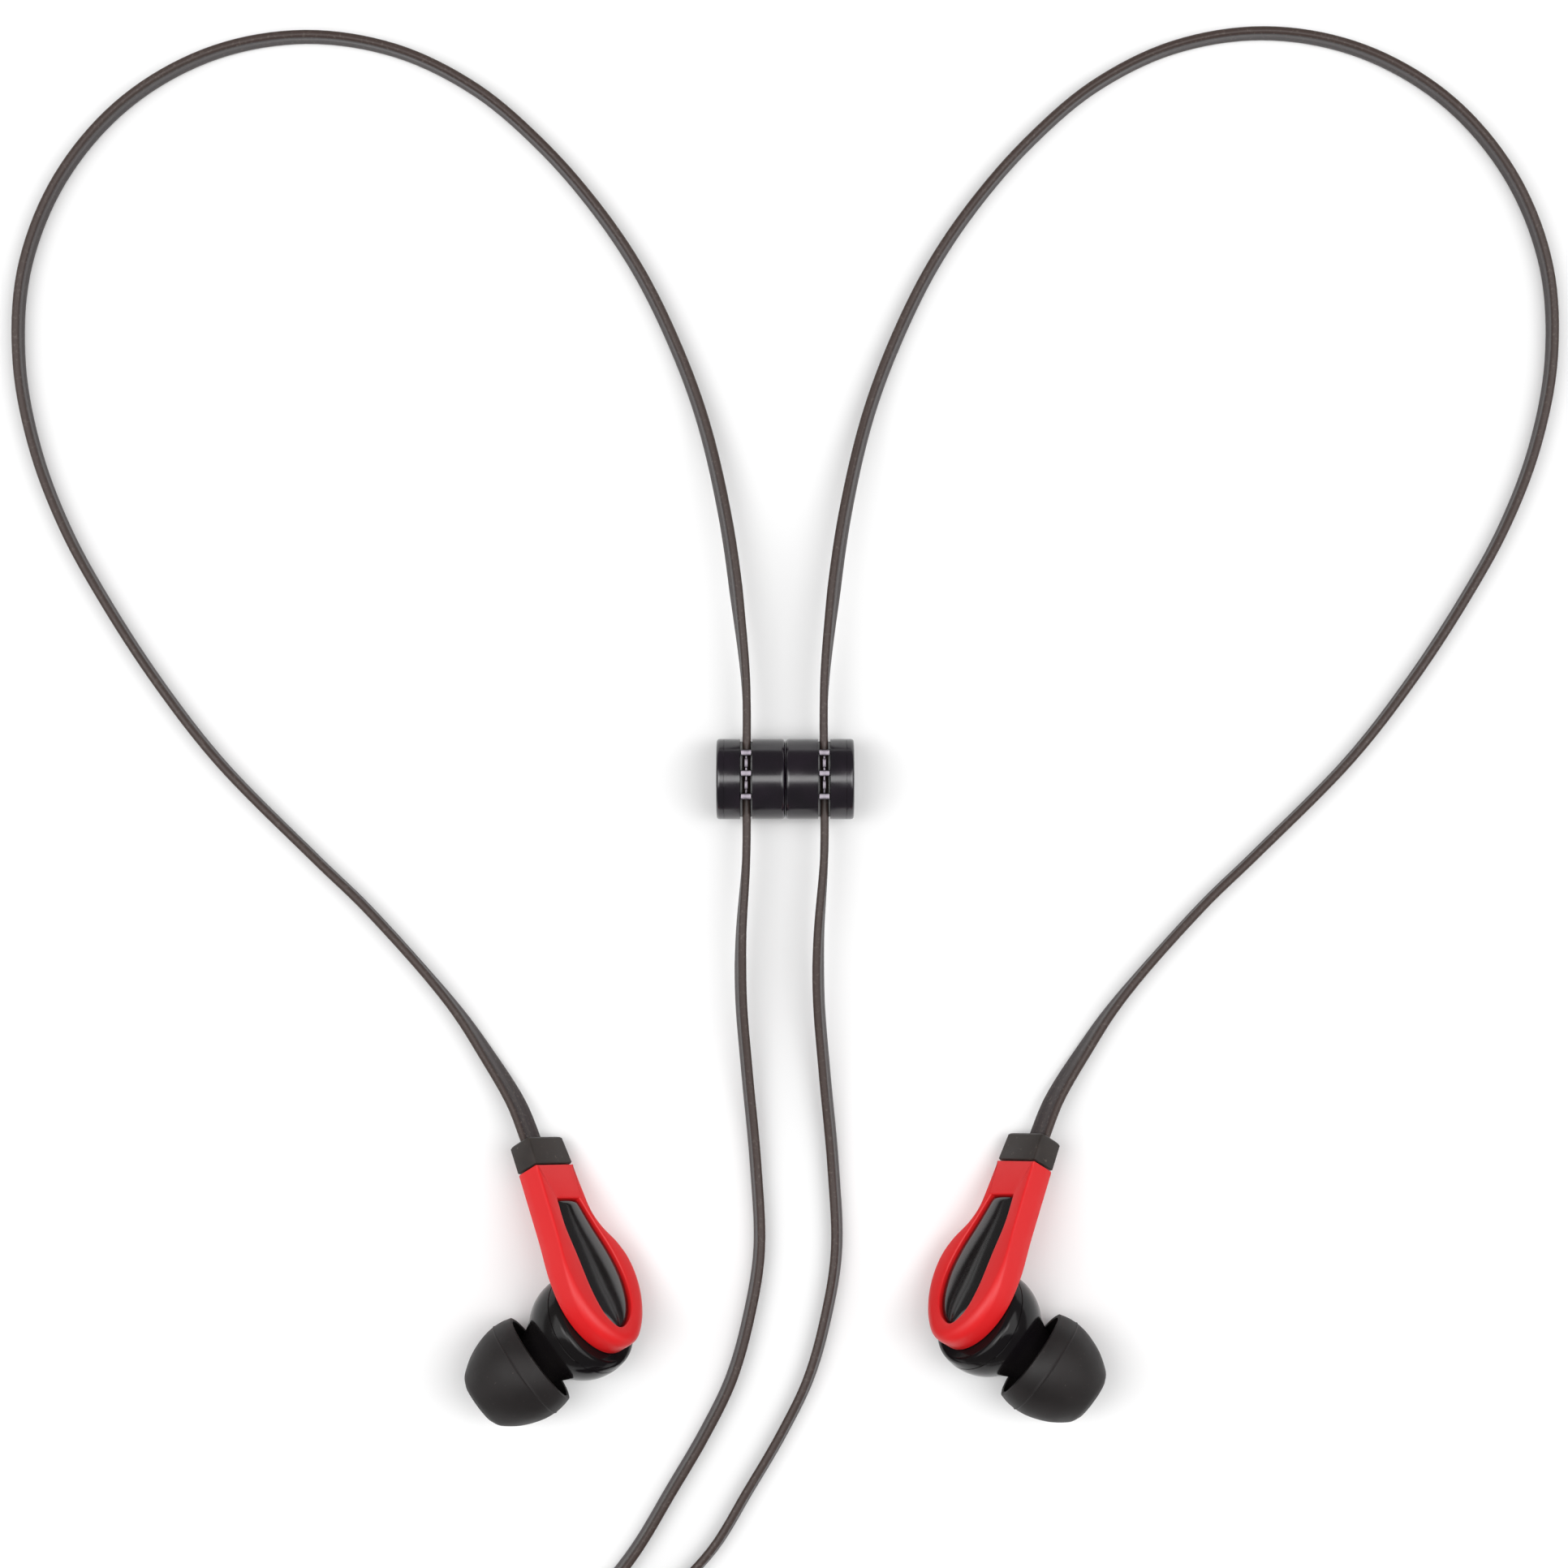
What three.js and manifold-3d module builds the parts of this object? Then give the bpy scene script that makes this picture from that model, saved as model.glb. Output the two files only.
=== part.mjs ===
// Wired in-ear earphones with a flat cable, two magnetic cable clasps, a Y split and a 3.5 mm plug.
// Millimetres, +Z up. The set lies on a table at z = 0, buds towards -Y, clasps towards +Y.
import * as THREE from "three";
import { mergeVertices } from "three/addons/utils/BufferGeometryUtils.js";
import Module from "manifold-3d";

const wasm = await Module();
wasm.setup();

// ---- driving dimensions ----
const gap = 0.3; // clearance between neighbouring pieces
const far = 40; // a cutter's reach beyond the piece it cuts
const roundSegments = 20;
const smallSegments = 16;
const outlineSteps = 2; // straight runs between two points of an outline

// flat cable of the two bud strands, and of the single lead below the split
const strandWidth = 3.2;
const strandThickness = 1.0;
const leadWidth = 3.6;
const leadThickness = 1.2;

// bud: local x across the face, y along the neck towards the cable, z out of the face
const budOrigin = new THREE.Vector3(-28.05, -9.6, 5.45); // middle of the neck's end, on the face
const budTurn = new THREE.Euler(degrees(-20), degrees(54), degrees(20), "ZXY");
const rightLift = 0.45; // the right bud lies this much higher up than the left one's mirror image
const neckWidth = 6.5;
const shellDepth = 3.46;
const shellEdge = 0.45;
const inlayRecess = 1.2;
const inlayThickness = 0.7;
const shellFloor = 0.7;
const reliefLength = 3.5;
const channelWidth = 3.8;
const channelOffset = -0.5; // the cable leaves a little to one side of the neck

// driver housing: a ball behind the shell, on the axis of the nozzle
const ballCentre = new THREE.Vector3(2.5, -18.8, -6); // in the bud's own frame
const ballRadius = 6.6;
const ballWall = 0.7;
const nozzleHeading = 216.6; // degrees from +X, level with the table
const creaseAlong = 4.8; // where the ball meets the cone of the nozzle
const collarRadius = 3.4;
const collarEnd = 7.5;
const nozzleRadius = 2.3;
const nozzleBore = 1.6;
const nozzleEnd = 14.3;
const barbRadius = 2.5;

// ear tip, measured along the nozzle from the tip's open rim
const tipRim = 6.5; // distance of the rim from the ball's centre
const tipLength = 9.3;
const tipWall = 0.6;
const sleeveRadius = 2.8;
const sleeveWall = 0.7;
const tipMouth = 1.9;

// driver, measured along the nozzle from its own zero, a little ahead of the ball's centre
const driverPlace = 0.6;
const driverBack = -0.2;
const driverFront = 2.6;
const driverRadius = 4.7;
const yokeRadius = 3.3;
const topPlateRadius = 2.0;
const coilRadius = 2.6;
const coilWall = 0.3;

// clasp: a barrel across the cable, X along its axis
const claspRadius = 4.9;
const claspLength = 8.2;
const claspCentreY = 37.35;
const claspGap = 0.17; // half the gap between the two facing ends
const capThickness = 0.9;
const slotWidth = 1.5;
const slotFloor = 3.2;
const strandX = 4.75; // the cable's place in the clasp
const magnetRadius = 3.2;
const magnetThickness = 2.0;
const rungPlaces = [3.2, 0.7, -2.1]; // along the slot, from the clasp's centre
const rungWidth = 0.8;
const rungRecess = 0.35; // below the barrel's round
const gripLow = 2.1; // above the clasp's axis
const gripSpine = 0.5;
const gripPlay = 0.2;

// puts the origin on the table under the middle of the buds and clasps
const frameShift = new THREE.Vector3(0, -0.526, 0);

// Y split, coil of the lead, its tie, and the plug
const splitCentre = new THREE.Vector3(-29.6, -77.4, 0);
const splitHeading = 245; // degrees from +X, the way the lead leaves
const splitLength = 13;
const splitHeight = 4.4;
const coilCentre = new THREE.Vector3(-8, -100, 0);
const coilOuter = 24.1;
const coilInner = 13.3;
const tieThickness = 0.7;
const tieWidth = 5;
const tieSlack = 0.5; // extra room for the curve of the coil inside the straight strap
const coilBottom = tieThickness + gap;
const plugStart = new THREE.Vector3(27, -112, 3.3);
const plugReliefLength = 9;
const plugBodyLength = 20;
const plugRadius = 3.25;
const jackRadius = 1.75;
const jackLength = 14;

// ---- finishes ----
const finishes = {
  redShell: { color: 0xe0262b, roughness: 0.35, metalness: 0 },
  glossBlack: { color: 0x141214, roughness: 0.12, metalness: 0 },
  mattBlack: { color: 0x1e1c20, roughness: 0.7, metalness: 0 },
  silicone: { color: 0x232226, roughness: 0.6, metalness: 0 },
  cable: { color: 0x574c4c, roughness: 0.55, metalness: 0 },
  anodised: { color: 0x2a262e, roughness: 0.35, metalness: 0.8 },
  steel: { color: 0xb8b8ba, roughness: 0.3, metalness: 1 },
  magnet: { color: 0x8c8c90, roughness: 0.35, metalness: 1 },
  gold: { color: 0xd0a850, roughness: 0.25, metalness: 1 },
  copper: { color: 0xb4683c, roughness: 0.35, metalness: 1 },
  film: { color: 0xc9c2a8, roughness: 0.3, metalness: 0 },
  board: { color: 0x1d5a34, roughness: 0.5, metalness: 0 },
  tieStrap: { color: 0x1b1b1d, roughness: 0.8, metalness: 0 },
};

const earphones = new THREE.Group();
earphones.position.copy(frameShift);

// ---- helpers ----
function degrees(angle) {
  return (angle * Math.PI) / 180;
}

function addPiece(parent, name, geometry, finish) {
  const piece = new THREE.Mesh(geometry, new THREE.MeshStandardMaterial(finishes[finish]));
  piece.name = name;
  parent.add(piece);
  return piece;
}

// Closed solid of a geometry, ready to be joined or cut.
function toSolid(geometry) {
  const bare = geometry.clone();
  bare.deleteAttribute("normal");
  bare.deleteAttribute("uv");
  const merged = mergeVertices(bare, 1e-4);
  const mesh = new wasm.Mesh({
    numProp: 3,
    vertProperties: new Float32Array(merged.attributes.position.array),
    triVerts: new Uint32Array(merged.index.array),
  });
  return new wasm.Manifold(mesh);
}

function toGeometry(solid) {
  const mesh = solid.getMesh();
  const geometry = new THREE.BufferGeometry();
  geometry.setAttribute("position", new THREE.BufferAttribute(mesh.vertProperties, 3));
  geometry.setIndex(new THREE.BufferAttribute(mesh.triVerts, 1));
  geometry.computeVertexNormals();
  return geometry;
}

function cut(geometry, ...cutters) {
  const left = cutters.reduce((solid, cutter) => solid.subtract(toSolid(cutter)), toSolid(geometry));
  return toGeometry(left);
}

function join(geometry, ...others) {
  const whole = others.reduce((solid, other) => solid.add(toSolid(other)), toSolid(geometry));
  return toGeometry(whole);
}

// Body of revolution about +Y. Each point is [radius, height], and the list runs anticlockwise.
function lathe(profile, segments = roundSegments) {
  const points = profile.map(([radius, height]) => new THREE.Vector2(radius, height));
  points.push(points[0].clone());
  return new THREE.LatheGeometry(points, segments);
}

function ring(inner, outer, low, high, segments = smallSegments) {
  return lathe([[inner, low], [outer, low], [outer, high], [inner, high]], segments);
}

function disc(radius, low, high, segments = smallSegments) {
  const points = [[0, low], [radius, low], [radius, high], [0, high]];
  return new THREE.LatheGeometry(points.map(([r, y]) => new THREE.Vector2(r, y)), segments);
}

function box(sizeX, sizeY, sizeZ, centreX, centreY, centreZ) {
  return new THREE.BoxGeometry(sizeX, sizeY, sizeZ).translate(centreX, centreY, centreZ);
}

// Slab of a closed outline in the XY plane, from z = low to z = high, its edges bevelled by edge.
function slab(shape, low, high, edge = 0) {
  const geometry = new THREE.ExtrudeGeometry(shape, {
    depth: high - low - 2 * edge,
    curveSegments: outlineSteps,
    steps: 1,
    bevelEnabled: edge > 0,
    bevelSize: edge,
    bevelOffset: -edge,
    bevelThickness: edge,
    bevelSegments: 2,
  });
  return geometry.translate(0, 0, low + edge);
}

// Outline that runs straight through its corners and smoothly through the points between them.
function outline(corners, smooth) {
  const shape = new THREE.Shape();
  shape.moveTo(...corners[0]);
  shape.lineTo(...corners[1]);
  shape.splineThru(smooth.map(([x, y]) => new THREE.Vector2(x, y)));
  shape.closePath();
  return shape;
}

// ---- flat cable ----
// Section of a flat cable, standing on edge: shape x goes up, shape y goes sideways.
function cableSection(width, thickness) {
  const high = width / 2;
  const side = thickness / 2;
  const shoulder = high - 0.3 * thickness;
  const crown = 0.6 * side;
  const section = new THREE.Shape();
  section.moveTo(high, -crown);
  section.lineTo(high, crown);
  section.lineTo(shoulder, side);
  section.lineTo(-shoulder, side);
  section.lineTo(-high, crown);
  section.lineTo(-high, -crown);
  section.lineTo(-shoulder, -side);
  section.lineTo(shoulder, -side);
  section.closePath();
  return section;
}

// A route whose upward direction is given at its two ends, and is vertical in between.
class CableRoute extends THREE.CatmullRomCurve3 {
  constructor(points, startUp = up, startTwist = 0) {
    super(points.map((p) => new THREE.Vector3(...p)), false, "centripetal");
    this.startUp = startUp;
    this.startTwist = startTwist; // share of the route over which the start's direction fades
  }

  computeFrenetFrames(segments) {
    const frames = { tangents: [], normals: [], binormals: [] };
    for (let i = 0; i <= segments; i += 1) {
      const share = i / segments;
      const tangent = this.getTangentAt(share);
      const held = this.startTwist > 0 ? Math.max(0, 1 - share / this.startTwist) : 0;
      const high = up.clone().lerp(this.startUp, held * held * (3 - 2 * held));
      const side = new THREE.Vector3().crossVectors(tangent, high).normalize();
      frames.tangents.push(tangent);
      frames.normals.push(new THREE.Vector3().crossVectors(side, tangent));
      frames.binormals.push(side);
    }
    return frames;
  }
}

const up = new THREE.Vector3(0, 0, 1);

function cable(route, width, thickness, steps) {
  return new THREE.ExtrudeGeometry(cableSection(width, thickness), {
    steps,
    extrudePath: route,
    curveSegments: 1,
  });
}

// ---- bud ----
const shellOutline = outline(
  [[-neckWidth / 2, 0], [neckWidth / 2, 0]].reverse(),
  [
    [-3.4, -4], [-3.6, -9], [-3.9, -14], [-3.3, -18], [-1.7, -21.0], [0.5, -22.9], [2.8, -23.6],
    [5.2, -22.9], [6.9, -21.0], [8.0, -18.4], [8.3, -15.6], [7.8, -12.7], [6.6, -10.4], [4.8, -8.2],
    [3.85, -6.2], [3.5, -3.4], [neckWidth / 2, 0],
  ],
);

const cavityOutline = outline(
  [[channelWidth / 2, 1], [-channelWidth / 2, 1]],
  [
    [-1.9, -8], [-2.4, -12], [-2.5, -16], [-1.6, -19.2], [0.3, -21.4], [2.7, -22.3],
    [4.9, -21.4], [6.4, -19.0], [7.0, -16], [6.2, -12.8], [4.0, -10], [2.2, -7.8], [1.9, -4],
    [channelWidth / 2, 1],
  ],
);

function inlayOutline(inset) {
  return outline(
    [[2.4 - inset, -4.5 - inset], [-1.5 + inset, -4.4 - inset]],
    [
      [-1.65 + inset, -8], [-1.2 + inset, -12], [-0.6 + inset, -17],
      [0.4 + 0.8 * inset, -19.9 + 0.4 * inset], [2.1, -21.4 + inset],
      [4.0 - 0.7 * inset, -20.6 + 0.7 * inset], [5.4 - inset, -18.4],
      [5.85 - inset, -15.2], [5.2 - inset, -11.8], [3.7 - inset, -8], [2.4 - inset, -4.5 - inset],
    ],
  );
}

function shellGeometry() {
  const body = slab(shellOutline, -shellDepth, 0, shellEdge);
  const recess = slab(inlayOutline(0), -inlayRecess, far);
  const cavity = slab(cavityOutline, -far, -inlayRecess - shellFloor);
  return cut(body, recess, cavity);
}

// The block that grips the cable: same section as the neck, its cable end a little smaller.
function reliefGeometry() {
  const half = neckWidth / 2;
  const side = new THREE.Shape();
  side.moveTo(-half, gap);
  side.lineTo(half, gap);
  side.lineTo(half - 0.35, gap + reliefLength);
  side.lineTo(-half + 0.1, gap + reliefLength);
  side.closePath();
  const block = slab(side, -shellDepth, 0, 0.35);
  const channel = box(channelWidth, far, shellDepth - 1.6, channelOffset, 0, -shellDepth / 2 - 0.05);
  return cut(block, channel);
}

// Quarter arcs and straight runs are given as [radius, along] pairs about the nozzle's axis.
function ballArc(radius, from, to, count) {
  const points = [];
  for (let i = 0; i <= count; i += 1) {
    const along = from + ((to - from) * i) / count;
    points.push([Math.sqrt(Math.max(0, radius * radius - along * along)), along]);
  }
  return points;
}

function housingProfile() {
  const inside = ballRadius - ballWall;
  const outer = ballArc(ballRadius, -ballRadius, creaseAlong, 12);
  const inner = ballArc(inside, -inside, creaseAlong - 0.3, 9).reverse();
  return [
    ...outer,
    [collarRadius + 0.2, tipRim - 0.4],
    [collarRadius, collarEnd],
    [nozzleRadius + gap, collarEnd],
    [nozzleRadius + gap, creaseAlong + 0.7],
    ...inner,
  ];
}

function openLathe(profile, segments = roundSegments) {
  return new THREE.LatheGeometry(profile.map(([r, y]) => new THREE.Vector2(r, y)), segments);
}

function nozzleProfile() {
  return [
    [nozzleBore, creaseAlong - 0.8],
    [collarRadius, creaseAlong - 0.8],
    [collarRadius, creaseAlong],
    [nozzleRadius, creaseAlong],
    [nozzleRadius, nozzleEnd - 1.6],
    [barbRadius, nozzleEnd - 1.3],
    [barbRadius, nozzleEnd - 0.9],
    [nozzleRadius - 0.2, nozzleEnd],
    [nozzleBore, nozzleEnd],
  ];
}

function tipProfile() {
  const skin = [
    [6.0, 0], [6.35, 1.4], [6.4, 2.3], [6.25, 3.6], [5.8, 5.1], [5.1, 6.7], [4.1, 8.2], [2.8, tipLength],
  ];
  const lining = skin.slice(0, 6).map(([radius, along]) => [radius - tipWall, along]);
  lining.push([sleeveRadius + sleeveWall, 7.4]);
  return [
    ...skin,
    [tipMouth, tipLength],
    [tipMouth, 8.15],
    [sleeveRadius, 8.15],
    [sleeveRadius, 1.3],
    [sleeveRadius + sleeveWall, 1.3],
    ...lining.reverse(),
  ].map(([radius, along]) => [radius, along + tipRim]);
}

function addDriver(parent, side) {
  const name = (piece) => `${side}_${piece}`;
  const floor = driverBack + 0.4;
  const frameInner = driverRadius - 0.5;
  const frame = lathe([
    [yokeRadius + gap, driverBack],
    [driverRadius, driverBack],
    [driverRadius, driverFront],
    [frameInner, driverFront],
    [frameInner, floor],
    [yokeRadius + gap, floor],
  ]);
  const yoke = openLathe([
    [0, driverBack],
    [yokeRadius, driverBack],
    [yokeRadius, 1.5],
    [coilRadius + gap, 1.5],
    [coilRadius + gap, floor],
    [0, floor],
  ], smallSegments);
  const diaphragmRadius = frameInner - gap;
  const diaphragm = openLathe([
    [0, 2.75],
    [coilRadius, 2.35],
    [0.8 * diaphragmRadius, 2.55],
    [diaphragmRadius, 2.35],
    [diaphragmRadius, 2.6],
    [0.8 * diaphragmRadius, 2.8],
    [coilRadius, 2.6],
    [0, 3.0],
  ], smallSegments);
  addPiece(parent, name("driver_frame"), frame, "mattBlack");
  addPiece(parent, name("driver_yoke"), yoke, "steel");
  addPiece(parent, name("driver_magnet"), disc(topPlateRadius, 0.5, 1.1), "magnet");
  addPiece(parent, name("driver_top_plate"), disc(topPlateRadius, 1.4, 1.8), "steel");
  const coil = ring(coilRadius - coilWall, coilRadius, 0.9, 2.0);
  addPiece(parent, name("voice_coil"), coil, "copper");
  addPiece(parent, name("diaphragm"), diaphragm, "film");
  addPiece(parent, name("terminal_board"), box(3, 0.5, 2, 0, driverBack - 0.6, 0), "board");
}

function addBud(side) {
  const name = (piece) => `${side}_${piece}`;
  const half = new THREE.Group();
  if (side === "right") {
    half.scale.x = -1;
    half.position.y = rightLift;
  }
  earphones.add(half);

  const bud = new THREE.Group();
  bud.position.copy(budOrigin);
  bud.rotation.copy(budTurn);
  half.add(bud);
  addPiece(bud, name("bud_shell"), shellGeometry(), "redShell");
  const inlayTop = -inlayRecess + gap + inlayThickness;
  const inlay = slab(inlayOutline(gap), -inlayRecess + gap, inlayTop, 0.2);
  addPiece(bud, name("face_inlay"), inlay, "glossBlack");
  addPiece(bud, name("cable_relief"), reliefGeometry(), "mattBlack");

  // the nozzle's frame: y along the nozzle, origin at the ball's centre
  const axis = new THREE.Group();
  bud.updateMatrix();
  axis.position.copy(ballCentre).applyMatrix4(bud.matrix);
  axis.rotation.z = degrees(nozzleHeading - 90);
  axis.updateMatrix();
  half.add(axis);

  // the ball is cut flat where it meets the back of the shell
  const toAxis = axis.matrix.clone().invert().multiply(bud.matrix);
  const cutter = box(2 * far, 2 * far, far, 0, ballCentre.y, far / 2 - shellDepth - gap);
  const housing = cut(openLathe(housingProfile()), cutter.applyMatrix4(toAxis));
  addPiece(axis, name("driver_housing"), housing, "glossBlack");
  addPiece(axis, name("nozzle"), lathe(nozzleProfile(), smallSegments), "mattBlack");
  const meshLow = nozzleEnd - 0.7;
  addPiece(axis, name("nozzle_mesh"), disc(nozzleBore - gap, meshLow, meshLow + 0.3), "steel");
  addPiece(axis, name("ear_tip"), lathe(tipProfile()), "silicone");

  const driver = new THREE.Group();
  driver.position.y = driverPlace;
  axis.add(driver);
  addDriver(driver, side);
}

// ---- clasp ----
// Built for the right side: x runs outwards from the meeting face.
function addClasp(side) {
  const name = (piece) => `${side}_${piece}`;
  const clasp = new THREE.Group();
  clasp.position.set(0, claspCentreY, claspRadius);
  if (side === "left") clasp.scale.x = -1;
  earphones.add(clasp);

  const alongX = (geometry) => geometry.rotateZ(-Math.PI / 2);
  const barrelEnd = claspGap + claspLength - capThickness - gap;
  const rim = 0.45;
  const barrel = alongX(openLathe([
    [0, claspGap],
    [claspRadius - rim, claspGap],
    [claspRadius, claspGap + rim],
    [claspRadius, barrelEnd],
    [0, barrelEnd],
  ]));
  const slotHeight = far;
  const slotMiddle = slotFloor - claspRadius + slotHeight / 2;
  const slot = box(slotWidth, far, slotHeight, strandX, 0, slotMiddle);
  const pocketEnd = claspGap + magnetThickness + 2 * gap;
  const pocket = alongX(disc(magnetRadius + gap, -1, pocketEnd));
  addPiece(clasp, name("clasp_barrel"), cut(barrel, slot, pocket), "anodised");

  const magnetLow = claspGap + gap;
  const magnet = alongX(disc(magnetRadius, magnetLow, magnetLow + magnetThickness));
  addPiece(clasp, name("clasp_magnet"), magnet, "magnet");

  const capLow = barrelEnd + gap;
  const cap = alongX(openLathe([
    [0, capLow],
    [claspRadius, capLow],
    [claspRadius, capLow + capThickness - rim],
    [claspRadius - rim, capLow + capThickness],
    [0, capLow + capThickness],
  ]));
  addPiece(clasp, name("clasp_cap"), cap, "anodised");

  // cable grip: a comb of three rungs in the slot above the cable, on one spine
  const gripWidth = slotWidth - 2 * gripPlay;
  const rungs = rungPlaces.map((place) => {
    const top = Math.sqrt(claspRadius ** 2 - place ** 2) - rungRecess;
    return box(gripWidth, rungWidth, top - gripLow, strandX, place, (top + gripLow) / 2);
  });
  const spineLength = rungPlaces[0] - rungPlaces[2] + rungWidth;
  const spineMiddle = (rungPlaces[0] + rungPlaces[2]) / 2;
  const spineHeight = gripLow + gripSpine / 2;
  const spine = box(gripWidth, spineLength, gripSpine, strandX, spineMiddle, spineHeight);
  addPiece(clasp, name("cable_grip"), join(spine, ...rungs), "anodised");
}

// ---- strands from the buds to the split ----
const budEnd = [
  [-31.0, -7.0, 3.85],
  [-32.9, -2.5, 2.7],
];

const loop = [
  [-36.7, 3.6, 1.8], [-40.8, 9.5, 1.65], [-51.3, 21.4, 1.65], [-57.5, 27.4, 1.65],
  [-69.4, 39.4, 1.65], [-76.8, 48.9, 1.65], [-83.1, 58.5, 1.65], [-88.3, 67.9, 1.65],
  [-92.1, 77.9, 1.65], [-94.1, 88.8, 1.65], [-93.4, 100.2, 1.65], [-89.0, 111.2, 1.65],
  [-81.1, 120.4, 1.65], [-70.6, 126.4, 1.65], [-59.1, 128.5, 1.65], [-47.8, 126.8, 1.65],
  [-38.0, 122.0, 1.65], [-30.2, 115.4, 1.65], [-23.8, 108.2, 1.65], [-18.4, 100.4, 1.65],
  [-14.0, 91.7, 1.8], [-10.2, 81.6, 2.5], [-7.3, 69.2, 4.0], [-5.6, 57.0, 4.9],
];

const throughClasp = [[-4.75, 48.0, 5.05], [-4.75, 38.0, 5.05], [-4.75, 28.0, 5.05]];

const fall = [
  [-5.4, 18.0, 4.7], [-5.4, 10.5, 3.9], [-4.7, 1.6, 2.8], [-3.6, -10.4, 1.8],
  [-3.2, -20.5, 1.65], [-4.4, -28.3, 1.65], [-6.6, -36.2, 1.65], [-9.9, -43.0, 1.65],
  [-14.0, -50.0, 1.65],
];

const leftJoin = [[-18.3, -57.2, 1.65], [-23.8, -64.4, 1.65], [-28.06, -70.55, 1.65]];
const rightJoin = [
  [-9.2, -57.6, 1.65], [-16.2, -64.4, 1.65], [-21.8, -68.2, 1.65], [-25.34, -71.82, 1.65],
];
const strandPitch = 2 * strandX;

const mirrored = (points) => points.map(([x, y, z]) => [-x, y + rightLift, z]);
const shifted = (points) => points.map(([x, y, z]) => [x + strandPitch, y, z]);

const budAcross = new THREE.Vector3(-1, 0, 0).applyEuler(budTurn);
const strandSteps = 46;
const twistShare = 0.07;

function addStrands() {
  const leftRoute = new CableRoute(
    [...budEnd, ...loop, ...throughClasp, ...fall, ...leftJoin],
    budAcross,
    twistShare,
  );
  const left = cable(leftRoute, strandWidth, strandThickness, strandSteps);
  addPiece(earphones, "left_strand", left, "cable");

  const mirroredAcross = budAcross.clone().multiply(new THREE.Vector3(-1, 1, 1));
  const rightRoute = new CableRoute(
    [...mirrored([...budEnd, ...loop]), ...shifted([...throughClasp, ...fall]), ...rightJoin],
    mirroredAcross,
    twistShare,
  );
  const right = cable(rightRoute, strandWidth, strandThickness, strandSteps);
  addPiece(earphones, "right_strand", right, "cable");
}

// ---- Y split ----
function addSplit() {
  const half = splitLength / 2;
  const wide = 3.6;
  const narrow = 2.2;
  const side = new THREE.Shape();
  side.moveTo(-half, -wide);
  side.lineTo(-half + 3, -wide);
  side.bezierCurveTo(0, -wide, half - 4, -narrow, half, -narrow);
  side.lineTo(half, narrow);
  side.bezierCurveTo(half - 4, narrow, 0, wide, -half + 3, wide);
  side.lineTo(-half, wide);
  side.closePath();
  const split = addPiece(earphones, "y_split", slab(side, 0, splitHeight, 0.5), "mattBlack");
  split.position.copy(splitCentre);
  split.rotation.z = degrees(splitHeading);
}

// ---- lead: from the split to its coil, and from the coil to the plug ----
const leadRoute = [
  [-32.5, -83.6, 1.85], [-33.6, -86.6, 1.85], [-34.0, -90.0, 2.0],
];
const tailRoute = [
  [-19.6, -103.2, 3.0], [-17.0, -107.8, 4.2], [-12.9, -111.0, 5.6], [-8.0, -112.0, 6.75],
  [-2.0, -112.0, 7.0], [5.0, -112.0, 7.0], [12.5, -112.0, 6.9], [17.5, -112.0, 5.9],
  [21.5, -112.0, 4.3], [24.5, -112.0, 3.4], [26.6, -112.0, 3.3],
];

function addLead() {
  const first = cable(new CableRoute(leadRoute), leadWidth, leadThickness, 4);
  addPiece(earphones, "lead_start", first, "cable");
  const last = cable(new CableRoute(tailRoute), leadWidth, leadThickness, 12);
  addPiece(earphones, "lead_end", last, "cable");

  const coil = ring(coilInner, coilOuter, coilBottom, coilBottom + leadWidth, 32);
  const wound = addPiece(earphones, "lead_coil", coil.rotateX(Math.PI / 2), "cable");
  wound.position.copy(coilCentre);

  const reach = coilOuter - coilInner + 2 * gap + 2 * tieThickness + tieSlack;
  const top = coilBottom + leadWidth + gap + tieThickness;
  const loopOutside = box(reach, tieWidth, top, 0, 0, top / 2);
  const loopInside = box(
    reach - 2 * tieThickness, far, top - 2 * tieThickness, 0, 0, top / 2,
  );
  const tie = addPiece(earphones, "coil_tie", cut(loopOutside, loopInside), "tieStrap");
  tie.position.copy(coilCentre);
  tie.position.x += (coilOuter + coilInner - tieSlack) / 2;
}

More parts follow.
